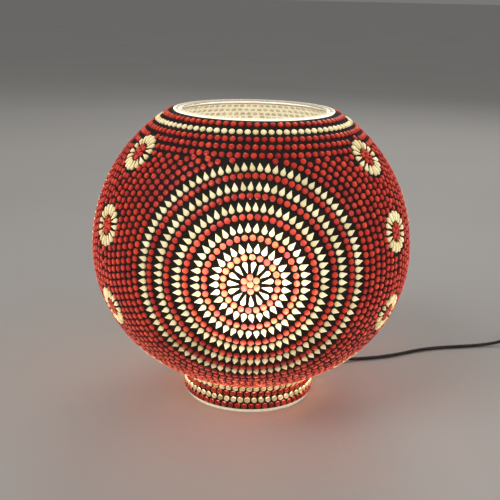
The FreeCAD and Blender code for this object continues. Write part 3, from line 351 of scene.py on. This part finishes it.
def make_materials():
    steel = dict(stretch=(1, 1, 14), Metallic=1.0)
    return {
        "red_tile_glass": tile_glass("red_tile_glass", RED_GLASS, RED_PAINTED_GLOW, 0.55),
        "cream_tile_glass": tile_glass("cream_tile_glass", CREAM_GLASS, CREAM_PAINTED_GLOW, 0.35),
        "black_grout": grout_surface(),
        "clear_glass": clear_glass(),
        "opal_glass": opal_glass(),
        "tie_fabric": woven_tape(),
        # the glue bed and the tile backs: a painted glow for the bulb's light on them
        "backing": painted_glow_backing("glue_bed", (0.86, 0.80, 0.60), (0.95, 0.90, 0.74), 0.85, 0.6),
        "tile_back": painted_glow_backing("tile_back", (0.40, 0.34, 0.20), (0.56, 0.48, 0.30), 0.60, 0.10),
        "zinc_steel": plain_surface("zinc_steel", (0.48, 0.49, 0.50), (0.66, 0.66, 0.65),
                                    (0.28, 0.46), 700.0, 0.00006, **steel),
        "brass": plain_surface("brass", (0.66, 0.44, 0.16), (0.86, 0.64, 0.28),
                               (0.20, 0.36), 600.0, 0.00005, **steel),
        "nickel_cap": plain_surface("nickel_cap", (0.60, 0.59, 0.56), (0.78, 0.77, 0.73),
                                    (0.14, 0.30), 800.0, 0.00004, **steel),
        "filament": plain_surface("filament", (0.85, 0.60, 0.18), (0.98, 0.76, 0.30),
                                  (0.35, 0.50), 900.0, 0.00005),
        "black_rubber": plain_surface("black_rubber", (0.012, 0.012, 0.012),
                                      (0.034, 0.033, 0.032), (0.62, 0.82), 1500.0, 0.00012),
        "white_plastic": plain_surface("white_plastic", (0.74, 0.72, 0.66), (0.84, 0.82, 0.77),
                                       (0.32, 0.48), 1100.0, 0.00008),
        "white_ceramic": plain_surface("white_ceramic", (0.80, 0.79, 0.75), (0.90, 0.89, 0.86),
                                       (0.14, 0.28), 500.0, 0.00010, Coat_Weight=0.6),
        "black_insulator": plain_surface("black_insulator", (0.010, 0.010, 0.012),
                                         (0.030, 0.030, 0.034), (0.10, 0.22), 600.0, 0.00005),
        "cord_sheath": plain_surface("cord_sheath", (0.020, 0.014, 0.010),
                                     (0.050, 0.038, 0.028), (0.38, 0.58), 900.0, 0.00010),
        "black_plastic": plain_surface("black_plastic", (0.016, 0.016, 0.017),
                                       (0.036, 0.036, 0.037), (0.40, 0.60), 1600.0, 0.00012),
        "rocker_plastic": plain_surface("rocker_plastic", (0.030, 0.030, 0.032),
                                        (0.055, 0.055, 0.058), (0.18, 0.32), 900.0, 0.00005),
    }


# --------------------------------------------------------------------------
# Mesh helpers
# --------------------------------------------------------------------------
SHARP_EDGE = math.radians(38)


def piece_from(name, points, faces, materials, face_slots=None):
    """A mesh object from points and faces, with its materials."""
    mesh = bpy.data.meshes.new(name)
    mesh.from_pydata(points, [], faces)
    for material in materials:
        mesh.materials.append(material)
    if face_slots is not None:
        mesh.polygons.foreach_set("material_index", face_slots)
    made = bpy.data.objects.new(name, mesh)
    scene.collection.objects.link(made)
    return made


def tidy_mesh(made):
    """Close the seams, drop what has no area and turn every face outwards."""
    work = bmesh.new()
    work.from_mesh(made.data)
    bmesh.ops.remove_doubles(work, verts=work.verts, dist=1e-7)
    bmesh.ops.dissolve_degenerate(work, edges=work.edges, dist=1e-8)
    bmesh.ops.recalc_face_normals(work, faces=work.faces)
    work.to_mesh(made.data)
    work.free()
    smooth(made)


def smooth(made):
    made.data.shade_smooth()
    made.data.set_sharp_from_angle(angle=SHARP_EDGE)


def arc(across, up, radius, first, last, count):
    """Points (radius, height) on an arc, both ends among them."""
    turns = [first + (last - first) * i / count for i in range(count + 1)]
    return [(across + radius * math.cos(t), up + radius * math.sin(t)) for t in turns]


def turned(name, outline, steps, materials, reshape=None, slots=None):
    """A closed outline of (radius, height) turned about Z."""
    count = len(outline)
    line = np.array(outline)
    angles = np.linspace(0, 2 * math.pi, steps, endpoint=False)
    radius = np.repeat(line[:, :1], steps, axis=1)
    height = np.repeat(line[:, 1:], steps, axis=1)
    if reshape:
        radius, height = reshape(radius, height, angles)
    points = np.stack([radius * np.cos(angles), radius * np.sin(angles), height], axis=-1)
    row, column = np.meshgrid(np.arange(count), np.arange(steps), indexing="ij")
    next_row = (row + 1) % count
    next_column = (column + 1) % steps
    faces = np.stack([row * steps + column, row * steps + next_column,
                      next_row * steps + next_column, next_row * steps + column], axis=-1)
    face_slots = None
    if slots is not None:
        face_slots = np.repeat(np.array(slots, dtype=np.int32), steps)
    made = piece_from(name, points.reshape(-1, 3).tolist(), faces.reshape(-1, 4).tolist(),
                      materials, face_slots)
    tidy_mesh(made)
    return made


def stand_for(made, slot, *nodes):
    """The piece takes the place of CAD nodes that ride on one body."""
    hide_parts(*nodes)
    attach(made, frame["nodes"][nodes[0]]["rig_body"])
    return made


# --------------------------------------------------------------------------
# Glass globe and grout
# --------------------------------------------------------------------------
LOWER_CENTRE = EQUATOR_RADIUS - LOWER_ARC
UPPER_CENTRE = EQUATOR_RADIUS - UPPER_ARC
FILLET_CENTRE = FOOT_RADIUS + NECK_FILLET
NECK_TURN = math.acos((FILLET_CENTRE - LOWER_CENTRE) / (LOWER_ARC + NECK_FILLET))
FILLET_HEIGHT = EQUATOR_HEIGHT - (LOWER_ARC + NECK_FILLET) * math.sin(NECK_TURN)
FLOOR_TOP = EQUATOR_HEIGHT - LOWER_ARC + GLASS_WALL


def globe_line(offset, detail):
    """The globe's outer face moved out by an offset, from the equator's foot side up."""
    rim_turn = math.asin((LAMP_HEIGHT - EQUATOR_HEIGHT) / (UPPER_ARC + offset))
    lower = arc(LOWER_CENTRE, EQUATOR_HEIGHT, LOWER_ARC + offset, -NECK_TURN, 0, detail)
    upper = arc(UPPER_CENTRE, EQUATOR_HEIGHT, UPPER_ARC + offset, 0, rim_turn, detail)
    return lower + upper[1:]


def wall_line(offset, detail):
    """The whole outer face, from the foot's bead to the rim."""
    fillet = arc(FILLET_CENTRE, FILLET_HEIGHT, NECK_FILLET - offset, math.pi,
                 math.pi - NECK_TURN, detail // 3)
    return [(FOOT_RADIUS + offset, BEAD_HEIGHT)] + fillet + globe_line(offset, detail)[1:]


def make_globe(looks):
    """Blown glass with a lip that rolls over the coat and a rounded bead under its foot."""
    outer = wall_line(0.0, GLOBE_DETAIL)
    lip_out = outer[-1][0] + LIP_OVERHANG
    lip_middle = outer[-1][0] - GLASS_WALL
    lip = [(outer[-1][0] + 1.2 * MM, LAMP_HEIGHT - LIP_DEPTH)]
    lip += arc(lip_out - LIP_EDGE, LAMP_HEIGHT - LIP_EDGE, LIP_EDGE, -1.2, math.pi / 2, 6)
    lip += arc(lip_middle, LAMP_HEIGHT - LIP_INNER, LIP_INNER, math.pi / 2, math.pi, 6)
    rim_turn = math.asin((LAMP_HEIGHT - 1.4 * MM - EQUATOR_HEIGHT) / (UPPER_ARC - GLASS_WALL))
    inner = arc(UPPER_CENTRE, EQUATOR_HEIGHT, UPPER_ARC - GLASS_WALL, rim_turn, 0, INSIDE_DETAIL)
    inner += arc(LOWER_CENTRE, EQUATOR_HEIGHT, LOWER_ARC - GLASS_WALL, 0, -math.pi / 2,
                 INSIDE_DETAIL)[1:]
    bead_middle = FOOT_RADIUS + BEAD_PROUD - BEAD_HEIGHT / 2
    bead_end = math.acos((FOOT_RADIUS - bead_middle) / (BEAD_HEIGHT / 2))
    bead = arc(bead_middle, BEAD_HEIGHT / 2, BEAD_HEIGHT / 2, -math.pi / 2, bead_end, 10)
    inside_foot = FOOT_RADIUS - FOOT_WALL
    outline = outer[:-1] + lip + inner
    outline += [(STEM_HOLE, FLOOR_TOP), (STEM_HOLE, FLOOR_TOP - FLOOR_THICKNESS),
                (inside_foot - 1.5 * MM, FLOOR_TOP - FLOOR_THICKNESS),
                (inside_foot, FLOOR_TOP - FLOOR_THICKNESS - 1.5 * MM),
                (inside_foot, 1.0 * MM), (inside_foot + 0.9 * MM, 0.0)]
    outline += bead
    made = turned("blown_globe", outline, GLOBE_STEPS, [looks["clear_glass"]])
    return stand_for(made, "clear_glass", "glass_globe")


def grout_relief(radius, height, angles):
    """Low hand-rubbed waves on the outer face of the coat."""
    outer_rows = len(wall_line(0.0, GROUT_DETAIL))
    for row in range(1, outer_rows):
        for step, angle in enumerate(angles):
            across = radius[row, step]
            spot = Vector((across * math.cos(angle), across * math.sin(angle), height[row, step]))
            wave = noise.noise(spot * 260) * 0.16 + noise.noise(spot * 700) * 0.07
            radius[row, step] = across + wave * MM
    return radius, height



def make_grout(looks):
    """The black coat, and behind it the cream glue bed that the glass shows."""
    outer = wall_line(GROUT_THICKNESS + GROUT_RISE, GROUT_DETAIL)
    inner = wall_line(GLUE_DEPTH, GROUT_DETAIL)
    top = LAMP_HEIGHT - LIP_DEPTH
    outer = [place for place in outer if place[1] < top] + [(outer[-1][0] + 1.6 * MM, top)]
    inner = [place for place in inner if place[1] < top] + [(inner[-1][0] + 2.2 * MM, top)]
    slots = [0] * len(outer) + [1] * (len(inner) - 1) + [0]
    outline = outer + inner[::-1]
    materials = [looks["black_grout"], looks["backing"]]
    made = turned("grout_coat", outline, GROUT_STEPS, materials, grout_relief, slots)
    return stand_for(made, "black_grout", "grout_skin")


# --------------------------------------------------------------------------
# Mosaic tiles: each takes its place, size and direction from its CAD solid
# --------------------------------------------------------------------------
TILE_SIDES = 16
TILE_SINK = GROUT_THICKNESS - 0.04 * MM
# share of the outline, height above the CAD tile's top, nearness to the rim (the mask of the
# painted rim shade)
TILE_RINGS = [(0.97, -0.55 * MM, 1.0), (0.93, -0.12 * MM, 0.80), (0.62, 0.12 * MM, 0.38)]
TILE_CROWN = 0.20 * MM


def solids_of(node):
    """The corner points of each separate solid in a CAD node."""
    mesh = frame["nodes"][node].data
    flat = np.empty(len(mesh.vertices) * 3)
    mesh.vertices.foreach_get("co", flat)
    points, index = np.unique(flat.reshape(-1, 3).round(6), axis=0, return_inverse=True)
    ends = np.empty(len(mesh.edges) * 2, dtype=np.int32)
    mesh.edges.foreach_get("vertices", ends)
    ends = index.reshape(-1)[ends].reshape(-1, 2)
    label = np.arange(len(points))
    while True:
        lower = np.minimum(label[ends[:, 0]], label[ends[:, 1]])
        fresh = label.copy()
        np.minimum.at(fresh, ends[:, 0], lower)
        np.minimum.at(fresh, ends[:, 1], lower)
        fresh = fresh[fresh]
        if (fresh == label).all():
            break
        label = fresh
    order = np.argsort(label, kind="stable")
    breaks = np.flatnonzero(np.diff(label[order])) + 1
    return [points[group] for group in np.split(order, breaks)]


def tile_places(node):
    """Each tile's centre, normal, long and cross directions, and half sizes along them."""
    rows = []
    for points in solids_of(node):
        middle = points.mean(axis=0)
        spread = np.linalg.eigh(np.cov((points - middle).T))[1]
        normal = spread[:, 0]
        farthest = points[np.argmax(np.linalg.norm(points - middle, axis=1))] - middle
        along = farthest - normal * (farthest @ normal)
        along /= np.linalg.norm(along)
        if normal @ (middle - np.array([0, 0, EQUATOR_HEIGHT])) < 0:
            normal = -normal
        side = np.cross(along, normal)
        ranges = [(points - middle) @ axis for axis in (along, side, normal)]
        centre = middle + sum(axis * (r.max() + r.min()) / 2
                              for axis, r in zip((along, side, normal), ranges))
        halves = [(r.max() - r.min()) / 2 for r in ranges]
        rows.append((centre, normal, along, side, halves))
    return rows


def round_outline(half_length, half_width):
    turns = np.linspace(0, 2 * math.pi, TILE_SIDES, endpoint=False)
    return np.stack([half_width * np.cos(turns), half_length * np.sin(turns)], axis=-1)


def drop_outline(half_length, half_width):
    """A round heel and two straight sides to a small rounded tip."""
    middle = half_width - half_length
    reach = half_length - middle
    lean = math.asin(half_width / reach)
    heel = np.linspace(math.pi - lean, 2 * math.pi + lean, TILE_SIDES - 5)
    points = [(half_width * math.cos(t), middle + half_width * math.sin(t)) for t in heel]
    right = np.array(points[-1])
    tip = np.array([0.0, half_length])
    left = np.array(points[0])
    points += [right + (tip - right) * 0.5, right + (tip - right) * 0.86,
               tip - [0, 0.10 * MM], left + (tip - left) * 0.86, left + (tip - left) * 0.5]
    return np.array(points, dtype=float)


def slim_outline(half_length, half_width):
    """A drop a little narrower than its CAD solid."""
    return drop_outline(half_length, half_width * 0.92)


def petal_outline(half_length, half_width):
    """Slimmer than a drop, so that black shows between neighbours."""
    return drop_outline(half_length * 1.05, half_width * 0.86)


def painted_glow_level(centre):
    """The painted glow of a tile, standing in for how brightly the bulb lights it: most by a
    medallion, least under the bowl.
    """
    out = Vector(centre) - Vector((0, 0, EQUATOR_HEIGHT))
    nearest = math.pi
    for bearing in MEDALLION_BEARINGS:
        turn = math.radians(bearing)
        middle = Vector((math.sin(turn) * math.cos(MEDALLION_RISE),
                         -math.cos(turn) * math.cos(MEDALLION_RISE), math.sin(MEDALLION_RISE)))
        nearest = min(nearest, out.angle(middle))
    raised = min(1.0, max(0.0, (centre[2] - 35 * MM) / (85 * MM)))
    raised = raised * raised * (3 - 2 * raised)
    return 0.12 + 0.42 * raised + 0.20 * math.exp(-(nearest / math.radians(24)) ** 2)


def build_tiles(name, places, outline_of, looks, slot, draw, painted_glow_lift):
    """One piece of many tiles: ground sides, a bevel and a low crown on each."""
    rings = [(0.95, None, 1.0)] + TILE_RINGS
    points = []
    values = {"tile_tone": [], "painted_tile_glow": [], "tile_edge": []}
    for centre, normal, along, side, halves in places:
        outline = outline_of(halves[0], halves[1])
        outline *= 1 + np.array([[draw.uniform(-0.022, 0.0)] for i in outline])
        tone = min(1.0, max(0.0, draw.gauss(0.52, 0.20)))
        # the tile's painted glow: from its place, a painted lift for the cream glass, its tone and
        # a random share
        glow = painted_glow_level(centre) + painted_glow_lift + (tone - 0.5) * 0.20 + draw.uniform(-0.04, 0.04)
        tilt = np.array([draw.uniform(-0.02, 0.02), draw.uniform(-0.02, 0.02)])
        for share, height, edge in rings:
            flat = outline * share
            if height is None:
                level = np.full(TILE_SIDES, -halves[2] - TILE_SINK)
            else:
                level = halves[2] + height + flat @ tilt
            spots = centre + np.outer(flat[:, 0], side) + np.outer(flat[:, 1], along)
            points.append(spots + np.outer(level, normal))
            values["tile_edge"] += [edge] * TILE_SIDES
        points.append([centre + normal * (halves[2] + TILE_CROWN)])
        values["tile_edge"].append(0.0)
        size = len(rings) * TILE_SIDES + 1
        values["tile_tone"] += [tone] * size
        values["painted_tile_glow"] += [glow] * size
    step = len(rings) * TILE_SIDES + 1
    pattern = [tuple(range(TILE_SIDES))[::-1]]
    for ring in range(len(rings) - 1):
        for i in range(TILE_SIDES):
            j = (i + 1) % TILE_SIDES
            low, high = ring * TILE_SIDES, (ring + 1) * TILE_SIDES
            pattern.append((low + i, low + j, high + j, high + i))
    crown = len(rings) * TILE_SIDES
    last = (len(rings) - 1) * TILE_SIDES
    pattern += [(last + i, last + (i + 1) % TILE_SIDES, crown) for i in range(TILE_SIDES)]
    faces = [tuple(start * step + corner for corner in face)
             for start in range(len(places)) for face in pattern]
    slots = ([1] + [0] * (len(pattern) - 1)) * len(places)
    made = piece_from(name, np.concatenate(points).tolist(), faces,
                      [looks[slot], looks["tile_back"]], slots)
    for key, numbers in values.items():
        layer = made.data.attributes.new(key, "FLOAT", "POINT")
        layer.data.foreach_set("value", numbers)
    smooth(made)
    return made


def make_tiles(looks):
    draw = random.Random(5)
    pieces = []
    red = tile_places("red_round_tiles")
    sectors = [[], [], []]
    for tile in red:
        bearing = math.degrees(math.atan2(tile[0][0], -tile[0][1])) % 360
        sectors[int((bearing + 60) // 120) % 3].append(tile)
    for name, places in zip(("front", "right", "left"), sectors):
        made = build_tiles(f"red_dots_{name}", places, round_outline, looks,
                           "red_tile_glass", draw, 0.0)
        pieces.append(stand_for(made, "red_tile_glass", "red_round_tiles"))
    for name, node, outline in (("cream_dots", "cream_round_tiles", round_outline),
                                ("cream_drops", "cream_drop_tiles", slim_outline),
                                ("cream_petals", "cream_petal_tiles", petal_outline)):
        made = build_tiles(name, tile_places(node), outline, looks,
                           "cream_tile_glass", draw, 0.12)
        pieces.append(stand_for(made, "cream_tile_glass", node))
    return pieces


# --------------------------------------------------------------------------
# Bulb and lampholder
# --------------------------------------------------------------------------
THREAD_PITCH = 3.6 * MM
THREAD_DEPTH = 0.32 * MM


def threaded(first, last, depth):
    """A reshape that waves a screw thread into a wall between two heights."""

    def reshape(radius, height, angles):
        wave = np.cos(2 * math.pi * height / THREAD_PITCH - angles)
        inside = np.clip((height - first) / MM, 0, 1) * np.clip((last - height) / MM, 0, 1)
        return radius + depth * wave * inside, height

    return reshape


def rise(radius, low, high, count):
    """Points straight up a wall, close enough together to carry a thread."""
    return [(radius, low + (high - low) * i / count) for i in range(count + 1)]


def make_bulb_cap(looks):
    low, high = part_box("bulb_cap")
    crest = high.x - THREAD_DEPTH
    outline = [(high.x - 1.5 * MM, low.z)] + rise(crest, low.z + 1.8 * MM, high.z, 44)
    outline += [(crest - 0.5 * MM, high.z)]
    outline += rise(crest - 0.5 * MM, low.z + 2.2 * MM, high.z, 44)[::-1]
    made = turned("bulb_cap_threaded", outline, 72, [looks["nickel_cap"]],
                  threaded(low.z + 2 * MM, high.z - 2.5 * MM, THREAD_DEPTH))
    return stand_for(made, "nickel_cap", "bulb_cap")


def make_screw_shell(looks):
    low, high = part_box("screw_shell")
    wall = 0.35 * MM
    middle = high.x - 0.30 * MM
    outline = [(9.4 * MM, low.z), (middle, low.z)] + rise(middle, low.z + 1 * MM, high.z, 44)
    outline += rise(middle - wall, low.z + 1 * MM, high.z, 44)[::-1] + [(9.4 * MM, low.z + wall)]
    made = turned("screw_shell_threaded", outline, 72, [looks["brass"]],
                  threaded(low.z + 2 * MM, high.z - 1 * MM, 0.25 * MM))
    return stand_for(made, "brass", "screw_shell")


def make_barrel(looks):
    """The lampholder's sleeve, with grip ribs round its middle."""
    low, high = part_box("holder_barrel")
    outside = high.x - 0.05 * MM
    inside = outside - 1.55 * MM
    mouth = 14.3 * MM
    outline = [(inside, low.z), (outside - 0.4 * MM, low.z), (outside, low.z + 0.4 * MM)]
    outline += rise(outside, low.z + 2 * MM, high.z - 6 * MM, 20)
    outline += arc(outside - 2.5 * MM, high.z - 2.5 * MM, 2.5 * MM, 0, math.pi / 2, 6)
    outline += [(mouth, high.z), (mouth, high.z - 2.4 * MM), (inside, high.z - 2.4 * MM)]

    def ribs(radius, height, angles):
        band = np.clip((height - low.z - 3 * MM) / (2 * MM), 0, 1)
        band = band * np.clip((high.z - 8 * MM - height) / (2 * MM), 0, 1)
        groove = np.clip(np.cos(angles * 36), 0, 1) * 0.5 * MM
        return radius - groove * band * (radius > inside + MM), height

    made = turned("holder_sleeve", outline, 288, [looks["white_plastic"]], ribs)
    return stand_for(made, "white_plastic", "holder_barrel")


def make_stem(looks):
    low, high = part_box("threaded_stem")
    wall = rise(high.x - 0.2 * MM, low.z, high.z, 60)
    outline = wall + [(3.4 * MM, high.z), (3.4 * MM, low.z)]

    def thread(radius, height, angles):
        wave = np.cos(2 * math.pi * height / MM - angles) * 0.2 * MM
        return radius + wave * (radius > 4 * MM), height

    made = turned("stem_threaded", outline, 60, [looks["zinc_steel"]], thread)
    return stand_for(made, "zinc_steel", "threaded_stem")


# --------------------------------------------------------------------------
# Cord, its relief, tie and plug neck
# --------------------------------------------------------------------------
RELIEF_LENGTH = 24.0 * MM
RELIEF_END = FOOT_RADIUS + 0.15 * MM + RELIEF_LENGTH
SWITCH_LOW, SWITCH_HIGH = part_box("switch_base")
SWITCH_LEFT = (SWITCH_LOW.x, 0.1140, 0.0075)
SWITCH_RIGHT = (SWITCH_HIGH.x, 0.1140, 0.0075)
ROUTE_TO_SWITCH = [
    (0.0880, 0.0576, 0.0046),
    (0.1020, 0.0634, FLOOR_LINE),
    (0.1170, 0.0670, FLOOR_LINE),
    (0.1320, 0.0710, FLOOR_LINE),
    (0.1520, 0.0800, FLOOR_LINE),
    (0.1720, 0.0915, FLOOR_LINE),
    (0.1940, 0.0995, FLOOR_LINE),
    (0.2180, 0.1040, FLOOR_LINE),
    (0.2400, 0.1090, FLOOR_LINE),
    (0.2580, 0.1128, 0.0032),
    (0.2670, 0.1138, 0.0064),
]
ROUTE_TO_COIL = [
    (0.3420, 0.1144, 0.0066),
    (0.3500, 0.1205, 0.0038),
    (0.3535, 0.1310, FLOOR_LINE),
    (0.3496, 0.1440, FLOOR_LINE),
    (0.3463, 0.1560, 0.0024),
]
ROUTE_TO_PLUG = [
    (0.3457, 0.1770, 0.0122),
    (0.3457, 0.1865, 0.0086),
    (0.3454, 0.1950, 0.0068),
]
PLUG_NECK_START = (0.3454, 0.2010, 0.0068)
COIL_MIDDLE = (0.3240, 0.1680)
COIL_RADII = (21.4 * MM, 18.0 * MM, 14.6 * MM)
COIL_LAYERS = 4
COIL_PITCH = 3.4 * MM
COIL_LOW = 2.5 * MM
TURN_POINTS = 16
CLIMB_POINTS = 5
CLIMB_BULGE = 1.1 * MM


def coil_points():
    """Turn beside turn and layer on layer, each change made in a turn's last third."""
    lanes = []
    for layer in range(COIL_LAYERS):
        radii = COIL_RADII if layer % 2 == 0 else COIL_RADII[::-1]
        lanes += [(radius, COIL_LOW + layer * COIL_PITCH) for radius in radii]
    points = []
    for lane, (radius, height) in enumerate(lanes):
        after = lanes[min(lane + 1, len(lanes) - 1)]
        climbs = after[1] > height
        outwards = 1 if radius > COIL_RADII[1] else -1
        for i in range(TURN_POINTS):
            change = max(0, i - (TURN_POINTS - CLIMB_POINTS)) / CLIMB_POINTS
            bulge = CLIMB_BULGE * outwards * math.sin(math.pi * change) * climbs
            reach = radius + (after[0] - radius) * change + bulge
            turn = 2 * math.pi * i / TURN_POINTS
            points.append((COIL_MIDDLE[0] + reach * math.cos(turn),
                           COIL_MIDDLE[1] + reach * math.sin(turn),
                           height + (after[1] - height) * change))
    points.append((COIL_MIDDLE[0] + COIL_RADII[0], COIL_MIDDLE[1], lanes[-1][1]))
    return points


def make_cord(looks):
    route = [cord_outlet(RELIEF_END), cord_outlet(RELIEF_END + 11 * MM)]
    route += ROUTE_TO_SWITCH + [SWITCH_LEFT, SWITCH_RIGHT] + ROUTE_TO_COIL
    route += coil_points() + ROUTE_TO_PLUG + [PLUG_NECK_START]
    data = bpy.data.curves.new("flex", "CURVE")
    data.dimensions = "3D"
    data.bevel_depth = CORD_DIAMETER / 2
    data.bevel_resolution = 5
    data.resolution_u = 6
    data.use_fill_caps = True
    spline = data.splines.new("NURBS")
    spline.points.add(len(route) - 1)
    for point, place in zip(spline.points, route):
        point.co = (*place, 1.0)
    spline.order_u = 3
    spline.use_endpoint_u = True
    data.materials.append(looks["cord_sheath"])
    flex = bpy.data.objects.new("flex", data)
    scene.collection.objects.link(flex)
    stand_for(flex, "cord_sheath", "supply_cord", "switch_cord", "plug_cord", "cord_coil")
    return flex


def make_relief(looks):
    """The grommet in the foot, drawn out into a ribbed, tapered sleeve."""
    bore = CORD_DIAMETER / 2 + 0.05 * MM
    inside = FOOT_RADIUS - FOOT_WALL - 0.6 * MM
    seat = FOOT_RADIUS + 0.15 * MM
    collar = seat + 1.6 * MM
    flange = 5.5 * MM
    throat = 3.5 * MM
    outline = [(bore, inside - 1.6 * MM), (5.1 * MM, inside - 1.6 * MM),
               (flange, inside - 1.2 * MM), (flange, inside), (throat, inside),
               (throat, seat), (flange, seat), (flange, collar - 0.5 * MM), (5.0 * MM, collar)]
    ribs = 6
    start = collar + 0.6 * MM
    pitch = (RELIEF_END - start) / ribs
    for i in range(ribs):
        share = i / ribs
        radius = (3.8 - 1.35 * share) * MM
        foot = start + pitch * i
        outline += [(radius - 0.45 * MM, foot), (radius - 0.45 * MM, foot + pitch * 0.28),
                    (radius, foot + pitch * 0.38), (radius, foot + pitch * 0.90)]
    outline += [(2.1 * MM, RELIEF_END - 0.3 * MM), (bore + 0.2 * MM, RELIEF_END),
                (bore, RELIEF_END)]
    made = turned("relief_sleeve", outline, 40, [looks["black_rubber"]])
    heading = Vector((math.cos(CORD_BEARING), math.sin(CORD_BEARING), 0))
    turn = heading.to_track_quat("Z", "Y").to_matrix().to_4x4()
    made.data.transform(Matrix.Translation((0, 0, CORD_HOLE_HEIGHT)) @ turn)
    return stand_for(made, "black_rubber", "cord_relief")


def make_plug_neck(looks):
    """A bend guard of thin rings that grow towards the plug."""
    low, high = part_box("plug_neck")
    length = high.y - low.y
    ribs = 7
    outline = [(0.0, 0.0), (CORD_DIAMETER / 2 + 0.3 * MM, 0.0)]
    for i in range(ribs):
        radius = (2.3 + 2.0 * i / (ribs - 1)) * MM
        foot = length * i / ribs
        outline += [(radius - 0.5 * MM, foot + 0.1 * MM), (radius - 0.5 * MM, foot + length * 0.05),
                    (radius, foot + length * 0.07), (radius, foot + length * 0.135)]
    outline += [(4.3 * MM, length), (0.0, length)]
    made = turned("plug_bend_guard", outline, 40, [looks["black_rubber"]])
    turn = Vector((0, 1, 0)).to_track_quat("Z", "Y").to_matrix().to_4x4()
    made.data.transform(Matrix.Translation(PLUG_NECK_START) @ turn)
    return stand_for(made, "black_rubber", "plug_neck")


def make_tie(looks):
    """A soft strap round the coil's turns."""
    low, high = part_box("cord_tie")
    thick = 0.8 * MM
    corner = 2.2 * MM
    middle = (low + high) / 2
    half_across = (high.x - low.x - thick) / 2
    half_up = (high.z - low.z - thick) / 2
    loop = []
    corners = [(1, 1, 0), (-1, 1, 90), (-1, -1, 180), (1, -1, 270)]
    for side, up, first in corners:
        loop += arc(middle.x + side * (half_across - corner), middle.z + up * (half_up - corner),
                    corner, math.radians(first), math.radians(first + 90), 6)
    half_wide = (high.y - low.y) / 2
    section = [(-0.5, -0.7), (-0.42, -1), (0.42, -1), (0.5, -0.7),
               (0.5, 0.7), (0.42, 1), (-0.42, 1), (-0.5, 0.7)]
    points = []
    for i, (across, up) in enumerate(loop):
        before, after = loop[i - 1], loop[(i + 1) % len(loop)]
        run = Vector((after[0] - before[0], after[1] - before[1])).normalized()
        for out, wide in section:
            points.append((across + run.y * out * thick, middle.y + wide * half_wide,
                           up - run.x * out * thick))
    size = len(section)
    faces = []
    for i in range(len(loop)):
        j = (i + 1) % len(loop)
        for k in range(size):
            n = (k + 1) % size
            faces.append((i * size + k, j * size + k, j * size + n, i * size + n))
    made = piece_from("tie_strap", points, faces, [looks["tie_fabric"]])
    tidy_mesh(made)
    return stand_for(made, "tie_fabric", "cord_tie")


# --------------------------------------------------------------------------
# CAD nodes that stay: broken edges and better materials
# --------------------------------------------------------------------------
SOFT_EDGES = {"switch_base": 0.5, "switch_cover": 0.8, "switch_rocker": 0.5, "lower_nut": 0.3,
              "upper_nut": 0.3, "holder_cap": 0.5, "holder_core": 0.4, "plug_pins": 0.4}


def dress_nodes(looks):
    slots = {row["node"]: row["material_slot"] for row in frame["record"]["subparts"]}
    for node, made in frame["nodes"].items():
        if made.hide_render:
            continue
        made.data.materials.clear()
        made.data.materials.append(looks[slots[node]])
        if node in SOFT_EDGES:
            made.modifiers.new("join", "WELD").merge_threshold = 1e-6
            flat = made.modifiers.new("flat", "DECIMATE")
            flat.decimate_type = "DISSOLVE"
            flat.angle_limit = math.radians(1.5)
            edges = made.modifiers.new("edges", "BEVEL")
            edges.width = SOFT_EDGES[node] * MM
            edges.segments = 3
            edges.limit_method = "ANGLE"
            edges.angle_limit = math.radians(50)
            edges.harden_normals = True


# --------------------------------------------------------------------------
# Floor and light
# --------------------------------------------------------------------------
FLOOR_HALF_SIDE = 60.0


def make_floor():
    surface = Surface("pale_floor", Roughness=0.55)
    cloud = surface.noise(2.0, 4.0)
    surface.colour(surface.ramp(cloud, [(0.3, (0.66, 0.64, 0.61)), (0.7, (0.70, 0.68, 0.65))]))
    far = FLOOR_HALF_SIDE
    points = [(-far, -far, 0), (far, -far, 0), (far, far, 0), (-far, far, 0)]
    floor = piece_from("floor", points, [(0, 1, 2, 3)], [surface.material])
    return floor


def area_light(name, place, aim, size, power, colour):
    data = bpy.data.lights.new(name, "AREA")
    data.size = size
    data.energy = power
    data.color = colour
    light = bpy.data.objects.new(name, data)
    scene.collection.objects.link(light)
    light.location = place
    light.rotation_mode = "QUATERNION"
    light.rotation_quaternion = (Vector(aim) - Vector(place)).to_track_quat("-Z", "Y")
    return light


def linked_only(light, lit, blocking):
    """The light reaches only some pieces and is stopped only by some."""
    for kind, members in (("receiver_collection", lit), ("blocker_collection", blocking)):
        group = bpy.data.collections.new(f"{light.name}_{kind}")
        for member in members:
            group.objects.link(member)
        setattr(light.light_linking, kind, group)


def make_lights(tiles, floor):
    world = bpy.data.worlds.new("studio")
    world.use_nodes = True
    world.node_tree.nodes["Background"].inputs["Color"].default_value = (0.86, 0.85, 0.84, 1)
    world.node_tree.nodes["Background"].inputs["Strength"].default_value = 0.22
    scene.world = world
    area_light("key", (-1.3, -1.2, 1.7), (0, 0, 0.1), 1.3, 16.0, (1.0, 0.97, 0.93))
    area_light("fill", (1.6, -0.9, 1.1), (0, 0, 0.1), 1.5, 6.0, (0.93, 0.96, 1.0))
    area_light("back", (0.4, 1.6, 1.4), (0, 0, 0.15), 1.2, 7.0, (1.0, 0.98, 0.95))
    data = bpy.data.lights.new("bulb_glow", "POINT")
    data.shadow_soft_size = LIGHT_RADIUS
    data.energy = BULB_POWER
    data.color = (1.0, 0.80, 0.56)
    glow = bpy.data.objects.new("bulb_glow", data)
    scene.collection.objects.link(glow)
    glow.location = BULB_CENTRE
    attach(glow, "bulb")
    linked_only(glow, tiles, [floor])



def main():
    looks = make_materials()
    make_camera()
    flex = make_cord(looks)
    relief = make_relief(looks)
    neck = make_plug_neck(looks)
    tie = make_tie(looks)
    make_globe(looks)
    make_grout(looks)
    tiles = make_tiles(looks)
    make_bulb_cap(looks)
    make_screw_shell(looks)
    make_barrel(looks)
    make_stem(looks)
    dress_nodes(looks)
    floor = make_floor()
    make_lights(tiles, floor)


main()
